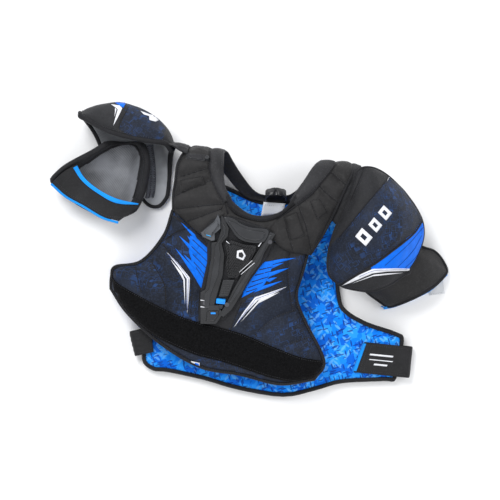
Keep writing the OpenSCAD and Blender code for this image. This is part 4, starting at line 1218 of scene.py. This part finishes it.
def rim_path(g, n, depth, step=2):
    """The grid's rim, as a closed line lying depth below the surface."""
    rows, cols = g.shape[:2]
    q = g + n * depth
    idx = [(0, i) for i in range(0, cols - 1, step)] + [(j, cols - 1) for j in range(0, rows - 1, step)] \
        + [(rows - 1, i) for i in range(cols - 1, 0, -step)] + [(j, 0) for j in range(rows - 1, 0, -step)]
    path = np.array([q[j, i] for j, i in idx])
    up = np.array([n[j, i] for j, i in idx])
    for _ in range(4):
        path = (np.roll(path, 1, 0) + 2 * path + np.roll(path, -1, 0)) / 4
        up = unit(np.roll(up, 1, 0) + 2 * up + np.roll(up, -1, 0))
    return path, up


def rim(name, g, n, depth, wide, tall, body, mats, slot="binding", stitch=None):
    """The binding round a shell's rim, with a row of stitches inside it."""
    path, up = rim_path(g, n, depth)
    p = Part()
    sweep(p, path, up, wide, tall, 0, True, 12, 2.3)
    if stitch is not None:
        inner, iup = rim_path(g[3:-3, 3:-3], n[3:-3, 3:-3], stitch)
        stitches(p, inner, iup, 4.2, 3.0, 0.8, 1, 0.35, 0.2)
    return p.make(name, mats, body)


cap = patch(RIGHT_CAP_NET, 84, 100)
cap_n = normals(cap)
cap_at = seen(cap)
seam_a = soft_line([(158, 224), (156, 214), (146, 190), (128, 148)])
seam_b = soft_line([(204, 206), (196, 194), (176, 171), (155, 146), (131, 117), (106, 86)])
seam_c = soft_line([(270, 134), (263, 124), (250, 104), (230, 86), (209, 70), (182, 50), (153, 32),
                    (112, 6)])
navy = [(204, 206), (196, 194), (176, 171), (155, 146), (131, 117), (80, 60), (80, -30), (112, 6), (153, 32),
        (182, 50), (209, 70), (230, 86), (250, 104), (263, 124), (300, 150), (260, 240)]
blue = [(300, 150), (263, 124), (250, 104), (230, 86), (209, 70), (182, 50), (170, 41), (172, 36), (211, 36),
        (246, 37), (280, 60)]
d = edge_distance(cap)
s = np.min([line_distance(cap_at, x) for x in (seam_a, seam_b)], axis=0)
s2 = line_distance(cap_at, seam_c)
hi = np.minimum(np.minimum(pillow(s, 4.0, 8), pillow(s2, 4.0, 12)), pillow(d, 4.2, 9)) - 1.4 \
    + ripples(cap, 40, 50) * 0.5 + ripples(cap, 14, 51) * 0.15
p = Part()
shell(p, cap, cap_n, -4.2, hi, face_zone(cap, [(navy, 1), (blue, 2)]), 0, 0)
cap_tree = grid_tree(cap, cap_n, hi)
p.make("right_cap_pad", [M["panel"], M["mesh"], M["print_blue"]], "right_cap",
       replaces=["right_cap_cover", "right_cap_plate"])
p = Part()
shell(p, cap, cap_n, -7.4 - pillow(d, 1.2, 12) + ripples(cap, 26, 52) * 0.3, -4.3)
p.make("right_cap_lining", [M["tricot"]], "right_cap", replaces=["right_cap_liner"])
rim("right_cap_binding", cap, cap_n, -4.4, 6.0, 9.5, "right_cap", [M["binding"], M["thread"]], stitch=0.6)

p = Part()
seam(p, seam_a[::3], cap_tree, 2.2, 1.6, 0)
seam(p, seam_b[::3], cap_tree, 2.8, 2.2, 0)
seam(p, seam_c[::3], cap_tree, 4.0, 3.0, 0)
run_stitches(p, seam_a + [2.6, -0.8], cap_tree, 1, smooth=False)
run_stitches(p, seam_b + [2.6, -2.4], cap_tree, 1, smooth=False)
run_stitches(p, seam_c + [-2.0, 3.2], cap_tree, 1, smooth=False)
flange = [(112, 2), (142, -3), (172, -5), (201, 4), (225, 19), (247, 35)]
seam(p, flange, cap_tree, 2.2, 1.6, 0)
p.make("right_cap_piping", [M["binding"], M["thread"]], "right_cap")

p = Part()
chevron = [(243, 38.5), (211, 39), (174, 38), (151, 28), (116, 7), (136, 14), (173, 30), (200, 33.5),
           (240, 35)]
applique(p, chevron, cap_tree, 0.7, 0.8, 3, 0)
applique(p, [(228, 31), (200, 30), (176, 27.5), (137, 12), (174, 25), (200, 27.6)], cap_tree, 0.6, 0.6, 3, 0)
for line in ([(262, 98), (246, 70), (219, 41)], [(264, 84), (252, 60), (233, 40)],
             [(265, 113), (238, 82), (196, 44)]):
    seam(p, line, cap_tree, 1.3, 1.0, 1, 0.1)
seam(p, [(236, 37), (205, 36.4), (175, 34.6), (150, 24)], cap_tree, 0.8, 0.8, 1, 0.6)
# Plain slanting blocks take the place of any lettering on the navy panel
for a, w, h in ((0, 20, 30), (31, 17, 24), (59, 17, 24)):
    base = np.array([160.0, 80.0]) + np.array([0.62, 0.78]) * a
    u, v = np.array([0.62, 0.78]), np.array([-0.70, 0.50])
    o = base - v * 2
    applique(p, [o, o + u * w, o + u * (w + 3) + v * h, o + u * 3 + v * h], cap_tree, 0.6, 0.7, 3, 0)
    o2 = o + u * (w * 0.36) + v * (h * 0.30)
    applique(p, [o2, o2 + u * w * 0.36, o2 + u * (w * 0.36 + 1.4) + v * h * 0.42,
                 o2 + u * 1.4 + v * h * 0.42], cap_tree,
             0.95, 0.4, 3, 2)
applique(p, [(197, 212), (202, 206), (200, 196), (205, 204)], cap_tree, 0.6, 0.6, 2, 0)
p.make("right_cap_prints", [M["print_white"], M["print_deep"], M["mesh"]], "right_cap")

# The wearer's right cap lies open: its outer face below, its lining towards the viewer
bowl = patch(LEFT_CAP_NET, 96, 84)
bowl_n = -normals(bowl)
d = edge_distance(bowl)
bowl_at = seen(bowl)
lc_seam = soft_line([(-262, 336), (-272, 318), (-280, 304), (-284, 288)])
s = np.where(bowl_n[..., 2] > 0, line_distance(bowl_at, lc_seam), 30)
hi = np.minimum(pillow(s, 2.6, 6), pillow(d, 3.2, 9)) - 1.6 + ripples(bowl, 30, 60) * 0.4
room = np.clip((bowl[..., 2] - 2.2) / 3, 0, 1)
hi = hi * room
p = Part()
navy_left = [(-262, 350), (-272, 318), (-284, 290), (-250, 270), (-205, 262), (-200, 290), (-225, 340)]
shell(p, bowl, bowl_n, -4.4, hi, face_zone(bowl, [(navy_left, 1)]), 0, 0)
bowl_tree = grid_tree(bowl, bowl_n, hi)
p.make("left_cap_pad", [M["panel"], M["mesh"]], "left_cap",
       replaces=["left_cap_cover", "left_cap_plate"])
lining_hi = 7.2 + pillow(d, 2.6, 10) + ripples(bowl, 34, 61) * 0.7 + ripples(bowl, 13, 62) * 0.2
p = Part()
shell(p, bowl, -bowl_n, 4.5, lining_hi)
lining_tree = grid_tree(bowl, -bowl_n, lining_hi)
p.make("left_cap_lining", [M["tricot"]], "left_cap", replaces=["left_cap_liner"])
rim("left_cap_binding", bowl, bowl_n, -3.6, 8.0, 10.5, "left_cap", [M["binding"], M["thread"]], stitch=0.8)

p = Part()
strip_line = [(-231, 258), (-227, 236), (-225, 206), (-226, 180), (-229, 166)]
strip = [(-236, 260), (-221, 262), (-218, 236), (-216, 206), (-218, 182), (-221, 168), (-234, 164),
         (-233, 206)]
applique(p, strip, lining_tree, 0.7, 1.0, 3.0, 0)
# Dark discs at the tape's perforations are painted shade inside each hole
for off in (0.0, 6.0):
    hits = lay(np.array([[x + off, y] for x, y in soft_line(strip_line, 3.4)]), lining_tree)
    for h in [h for h in hits if h]:
        u, w = np.cross(h[1], [0, 1, 0]), np.cross(h[1], [1, 0, 0])
        u, w = unit(u), unit(w)
        eighths = [k * math.pi / 4 for k in range(8)]
        ring = [h[0] + h[1] * 0.9 + (u * math.cos(a) + w * math.sin(a)) * 0.95 for a in eighths]
        low = [q - h[1] * 0.8 for q in ring]
        p.add(ring + low, [tuple(range(8))[::-1], tuple(range(8, 16))]
              + [(k, (k + 1) % 8, 8 + (k + 1) % 8, 8 + k) for k in range(8)], 1)
seam(p, [(x - 6.0, y) for x, y in strip_line], lining_tree, 1.6, 1.2, 2, 0.3)
seam(p, [(x + 8.0, y) for x, y in strip_line], lining_tree, 1.6, 1.2, 2, 0.3)
p.make("left_cap_seam_tape", [M["strip"], M["hole"], M["thread"]], "left_cap")

p = Part()
applique(p, [(-297, 334), (-282, 332), (-277, 327), (-284, 312), (-293, 296), (-288, 314), (-285, 325),
             (-291, 330)],
         bowl_tree, 0.7, 0.8, 2.5, 0)
applique(p, [(-290, 328), (-287, 325), (-291, 312), (-290, 320)], bowl_tree, 0.7, 0.8, 2.5, 0)
applique(p, [(-290, 337), (-270, 337), (-275, 328), (-283, 333)], bowl_tree, 0.7, 0.8, 2.5, 1)
applique(p, [(-244, 322), (-228, 316), (-226, 312), (-238, 316)], bowl_tree, 0.7, 0.8, 2.5, 0)
applique(p, [(-229, 316), (-216, 314), (-210, 306), (-217, 303), (-228, 306)], bowl_tree, 0.7, 0.8, 2.5, 0)
seam(p, lc_seam[::3], bowl_tree, 2.0, 1.6, 2)
run_stitches(p, [(-318, 296), (-290, 288), (-262, 280), (-232, 276), (-210, 270)], bowl_tree, 3, gap=5.0)
p.make("left_cap_prints", [M["print_white"], M["print_blue"], M["binding"], M["thread"]], "left_cap")

# Soft joining strips between the shoulder pads and the caps


def joining_strip(name, net, body, start, end, replaces, seed):
    """A soft strip from a shoulder pad to a cap, bent between the two."""
    g = patch(net, 30, 40)
    n = normals(g)
    n = facing(n, 20, 15, (0, 0.6, 0.8))
    p = Part()
    shell(p, g, n, -2.4, 0.6 + ripples(g, 12, seed) * 0.6 + 0.5 * np.sin(arcs(g)[2] / 9))
    p.make(name, [M["panel"]], blend=("back_panel", body, start, end), replaces=replaces)


joining_strip("left_cap_gusset", [
    [(-192, 262, 85), (-182, 257, 90), (-172, 250, 95), (-158, 243, 96)],
    [(-188, 262, 72), (-179, 261, 79), (-170, 258, 83), (-157, 252, 84)],
    [(-187, 264, 56), (-178, 265, 60), (-168, 264, 61), (-156, 261, 58)],
    [(-188, 256, 36), (-178, 260, 38), (-170, 259, 38), (-160, 254, 36)]],
    "left_cap", (-0.160, 0.250, 0.07), (-0.186, 0.260, 0.07), ["left_cap_tab"], 55)
joining_strip("right_cap_gusset", [
    [(130, 226, 62), (141, 227, 66), (152, 222, 74)],
    [(124, 212, 84), (138, 213, 88), (152, 208, 90)],
    [(114, 190, 95), (129, 187, 96), (144, 180, 97)],
    [(100, 160, 93), (116, 156, 95), (132, 148, 98)],
    [(84, 128, 86), (98, 124, 90), (114, 108, 97)]],
    "right_cap", (0.1164, 0.1804, 0.09), (0.1316, 0.1756, 0.09), ["right_cap_tab"], 56)

# ---------------------------------------------------------------- arm guards

right_guard = patch(RIGHT_GUARD_NET, 60, 52)
right_guard_n = normals(right_guard)
d = edge_distance(right_guard)
hi = pillow(d, 6.5, 13) - 2.6 + ripples(right_guard, 38, 70) * 0.9 + ripples(right_guard, 13, 71) * 0.25
p = Part()
shell(p, right_guard, right_guard_n, -4.0, hi)
p.make("right_guard_pad", [M["nylon"]], "right_guard",
       replaces=["right_guard_cover", "right_guard_plate"])
p = Part()
shell(p, right_guard, right_guard_n, -7.4 + ripples(right_guard, 26, 72) * 0.3, -4.1)
p.make("right_guard_lining", [M["tricot"]], "right_guard",
       replaces=["right_guard_liner"])
rim("right_guard_binding", right_guard, right_guard_n, -4.0, 6.0, 9.0, "right_guard",
    [M["binding"], M["thread"]], stitch=1.0)
g = patch(RIGHT_SLEEVE_NET, 48, 16)
n = normals(g)
p = Part()
shell(p, g, n, -1.4, ripples(g, 22, 73) * 0.3)
right_sleeve = p.make("right_sleeve_cloth", [M["elastic"]], "right_guard",
                      replaces=["right_sleeve"])
p = Part()
cuff = spline([(199, -36, 4.5), (222, -31, 4), (254, -18, 3), (288, 0, 4), (316, 27, 4.5)],
              np.linspace(0, 1, 60))
sweep(p, cuff, upright(cuff), 3.6, 3.2, 0)
tip = spline([(196, -32, 8), (200, -33.5, 12), (205, -33, 15.5)], np.linspace(0, 1, 12))
sweep(p, tip, np.tile([0.2, -0.8, 0.4], (12, 1)), 8.0, 2.0, 0)
p.make("right_cuff_band", [M["blue_elastic"]], "right_guard",
       replaces=["right_cuff_elastic"])
p = Part()
q, f = fill([(285, -12), (312, -8), (308.5, 16.5), (282, 13)], 3)
z = 2.0 + 1.6 * np.sin(q[:, 0] / 7.5) ** 2 + 1.2 * np.sin(q[:, 1] / 9 + 1)
prism(p, np.column_stack([q, z + 0.3]), np.column_stack([q, z]), f)
line = [(286, -9.6, 3.4), (298, -7.8, 3.4), (310, -6, 3.4)]
stitches(p, line, upright(line), 3.2, 2.2, 0.6, 1, lift=0.4)
guard_label = p.make("right_guard_label", [M["label"], M["thread"]], "right_guard",
                     replaces=["care_label"])

left_guard = patch(LEFT_GUARD_NET, 72, 64)
left_guard_n = normals(left_guard)
d = edge_distance(left_guard)
grey_zone = [(-352, 222), (-335, 232), (-318, 245), (-296, 256), (-270, 263), (-254, 259), (-247, 250),
             (-243, 238), (-245, 219), (-249, 195), (-256, 168), (-262, 150), (-300, 150), (-345, 180),
             (-372, 205)]
hi = 0.4 + pillow(d, 2.6, 10) + ripples(left_guard, 30, 80) * 0.7 + ripples(left_guard, 12, 81) * 0.2
p = Part()
shell(p, left_guard, left_guard_n, -3.4, hi, face_zone(left_guard, [(grey_zone, 1)]), 0, 0)
left_guard_tree = grid_tree(left_guard, left_guard_n, hi)
p.make("left_guard_lining", [M["panel"], M["tricot_fine"]], "left_guard",
       replaces=["left_guard_liner"])
p = Part()
low = -8.0 - pillow(d, 1.6, 12) * np.clip((left_guard[..., 2] - 13) / 12, 0, 1)
shell(p, left_guard, left_guard_n, low, -3.5)
p.make("left_guard_pad", [M["nylon"]], "left_guard",
       replaces=["left_guard_cover", "left_guard_plate"])
rim("left_guard_binding", left_guard, left_guard_n, -2.6, 6.5, 10.5, "left_guard",
    [M["binding"], M["thread"]], stitch=1.6)
p = Part()
seam(p, [(-352, 222), (-335, 232), (-318, 245), (-296, 256), (-270, 263), (-254, 259), (-247, 250),
         (-243, 238), (-245, 219), (-249, 195), (-256, 168)], left_guard_tree, 3.2, 2.2, 0, 0.2)
p.make("left_guard_piping", [M["binding"]], "left_guard")
g = patch(LEFT_SLEEVE_NET, 90, 34)
n = normals(g)
n = facing(n, 10, 40)
_, _, c3, c4 = arcs(g)
sag = -2.2 * np.sin(np.clip(c3 / (c3 + c4 + 1e-6), 0, 1) * math.pi) + ripples(g, 26, 82) * 0.7
sagged = g + n * sag[..., None]
p = Part()
shell(p, sagged, n, -1.8, 0.0)
stitches(p, sagged[30], n[30], 4.0, 2.6, 0.8, 1)
left_sleeve = p.make("left_sleeve_cloth", [M["elastic"], M["thread"]], "left_guard",
                     replaces=["left_sleeve"])
top = patch(LEFT_SLEEVE_NET, 120, 8, (0.02, 0.98), (0.0, 0.16))
tn = normals(top)
tn = facing(tn, 4, 50)
t1 = arcs(top)
p = Part()
shell(p, top, tn, 0.2,
      1.5 + 0.35 * np.sin(t1[0] / 3.0 * 2 * math.pi) * np.clip(np.minimum(t1[2], t1[3]) / 1.5, 0, 1)
      - 0.8 * np.exp(-np.minimum(t1[2], t1[3]) / 0.9))
p.make("left_sleeve_band", [M["blue_elastic"]], "left_guard",
       replaces=["left_sleeve_elastic"])
p = Part()
cuff = spline(LEFT_SLEEVE_NET[2], np.linspace(0, 1, 90)) + [-1, -2.6, -1]
sweep(p, cuff, np.tile([0.2, 0.4, 1.0], (90, 1)), 4.4, 3.4, 0)
p.make("left_cuff_band", [M["blue_elastic"]], "left_guard",
       replaces=["left_cuff_elastic"])

# ---------------------------------------------------------------- waist straps


def strap(name, at, turn, width, length, slant, blend, replaces, seed):
    """Elastic folded round the panel's edge: a top layer, the fold, and a short layer below."""
    c, s = math.cos(math.radians(turn)), math.sin(math.radians(turn))

    def world(x, y, z):
        return [at[0] + x * c - y * s, at[1] + x * s + y * c, at[2] + z]

    rows = []
    for w in np.linspace(-0.5, 0.5, 25):
        start = -length - slant * (0.5 - w)
        flat = [(x, 10.0) for x in np.linspace(start, 0, 40)]
        round_ = [(10.0 * math.sin(a) * 0.95,
                   10.0 * math.cos(a)) for a in np.linspace(0.12, math.pi - 0.12, 22)]
        back = [(x, -10.0 + 0.4 * abs(x) ** 0.5) for x in np.linspace(-1.5, -14, 8)]
        rows.append([world(x, w * width, z) for x, z in flat + round_ + back])
    g = np.array(rows)
    n = normals(g)
    n = facing(n, 12, 5)
    _, _, c3, c4 = arcs(g)
    side = np.minimum(c3, c4)
    hi = 0.6 - 0.7 * np.exp(-side / 1.6) + 0.25 * np.sin(c3 / 2.4 * 2 * math.pi) * np.clip(side / 3, 0, 1) \
        + ripples(g, 30, seed) * 0.4
    p = Part()
    shell(p, g, n, -1.7, hi)
    q = g + n * hi[..., None]
    for row in (2, 22):
        stitches(p, q[row, 2:40], n[row, 2:40], 4.0, 2.8, 0.8, 1)
    stitches(p, q[2:23, 4], n[2:23, 4], 3.6, 2.6, 0.8, 1)
    stitches(p, q[2:23, 7], n[2:23, 7], 3.6, 2.6, 0.8, 1)
    made = p.make(name, [M["elastic"], M["thread"]], blend=blend, replaces=replaces)
    return g, n, hi


g, n, hi = strap("right_waist_elastic", (239, -133, 13), -6, 57, 80, 14,
                 ("back_panel", "right_strap", (0, 0, 0.006), (0, 0, 0.019)),
                 ["right_waist_strap", "right_strap_base"], 90)
strap("left_waist_elastic", (-254, -98, 13), 193, 46, 26, 6,
      ("back_panel", "left_strap", (0, 0, 0.006), (0, 0, 0.019)),
      ["left_waist_strap", "left_strap_base"], 92)
strap_tree = grid_tree(g[:, :42], n[:, :42], hi[:, :42])
p = Part()
for dy, half, tall in ((9, 21, 3.0), (0, 21, 1.6), (-8, 12, 3.0)):
    cx, cy = 188 + 0.1 * dy, -127 + dy
    applique(p, [(cx - half, cy - tall / 2 + 0.1 * half), (cx + half, cy - tall / 2 - 0.1 * half),
                 (cx + half + 1.5, cy + tall / 2 - 0.1 * half),
                 (cx - half + 1.5, cy + tall / 2 + 0.1 * half)],
             strap_tree, 0.4, 0.5, 3, 0)
p.make("right_waist_stripes", [M["print_white"]], "right_strap")

# Pull tab and hook patch at the strap's free end
q = (g + n * hi[..., None])[1:24, 0]
p = Part()
side = unit(g[12, 0] - g[12, 6])
tab = np.array([q + side * t + [0, 0, z] for t, z in ((-4, 0.8), (-1, 0.9), (1.4, 0.2), (2.0, -1.2),
                                                      (0.6, -2.4), (-4, -2.9))])
tab_n = normals(tab)
tab_n = facing(tab_n, 0, 0)
shell(p, tab, tab_n, -0.5, 0.5)
p.make("right_pull_ribbon", [M["blue_elastic"]], "right_strap",
       replaces=["right_pull_tab"])
p = Part()
patch_g = (g - n * 1.9)[3:22, 3:16]
patch_n = -n[3:22, 3:16]
shell(p, patch_g, patch_n, 0.0, 1.2 + ripples(patch_g, 5, 94) * 0.3)
p.make("right_hook_strip", [M["hook"]], "right_strap", replaces=["right_hook_patch"])

# ---------------------------------------------------------------- rivets: the one CAD node that shows

rivets = bpy.data.objects["frame_rivets"]
if not rivets.material_slots:
    rivets.data.materials.append(M["steel"])
for place in rivets.material_slots:
    place.link, place.material = "OBJECT", M["steel"]

# ---------------------------------------------------------------- stage, light, camera

mesh = bpy.data.meshes.new("floor")
bm = bmesh.new()
bmesh.ops.create_grid(bm, x_segments=2, y_segments=2, size=4.0)
bm.to_mesh(mesh)
bm.free()
floor = bpy.data.objects.new("floor", mesh)
bpy.context.scene.collection.objects.link(floor)
sh = Shader("pale_floor", rough=0.85)
sh.bump(sh.noise(3.0), 0.15)
sh.done((0.93, 0.93, 0.935))
mesh.materials.append(sh.mat)


def lamp(name, at, aim, size, power):
    """A round soft light."""
    light = bpy.data.lights.new(name, "AREA")
    light.shape, light.size, light.energy = "DISK", size, power
    obj = bpy.data.objects.new(name, light)
    obj.location = at
    obj.rotation_euler = (Vector(aim) - Vector(at)).to_track_quat("-Z", "Y").to_euler()
    bpy.context.scene.collection.objects.link(obj)


AIM = (0, 0.03, 0.05)
lamp("key", (-0.9, 1.4, 1.9), AIM, 1.3, 42)
lamp("fill", (1.5, 0.2, 1.6), AIM, 1.5, 15)
lamp("low", (-0.2, -1.5, 1.2), AIM, 1.4, 9)

world = bpy.data.worlds.new("studio")
world.use_nodes = True
world.node_tree.nodes["Background"].inputs[0].default_value = (0.95, 0.97, 1.0, 1)
world.node_tree.nodes["Background"].inputs[1].default_value = 0.62
bpy.context.scene.world = world

SENSOR_MM, LENS_MM = 36, 93.6
camera = bpy.data.cameras.new("camera")
camera.sensor_width, camera.lens = SENSOR_MM, LENS_MM
camera.clip_start, camera.clip_end = 0.1, 20
eye = bpy.data.objects.new("camera", camera)
eye.location = EYE * MM
bpy.context.scene.collection.objects.link(eye)
bpy.context.scene.camera = eye
bpy.context.scene.view_settings.view_transform = "Standard"
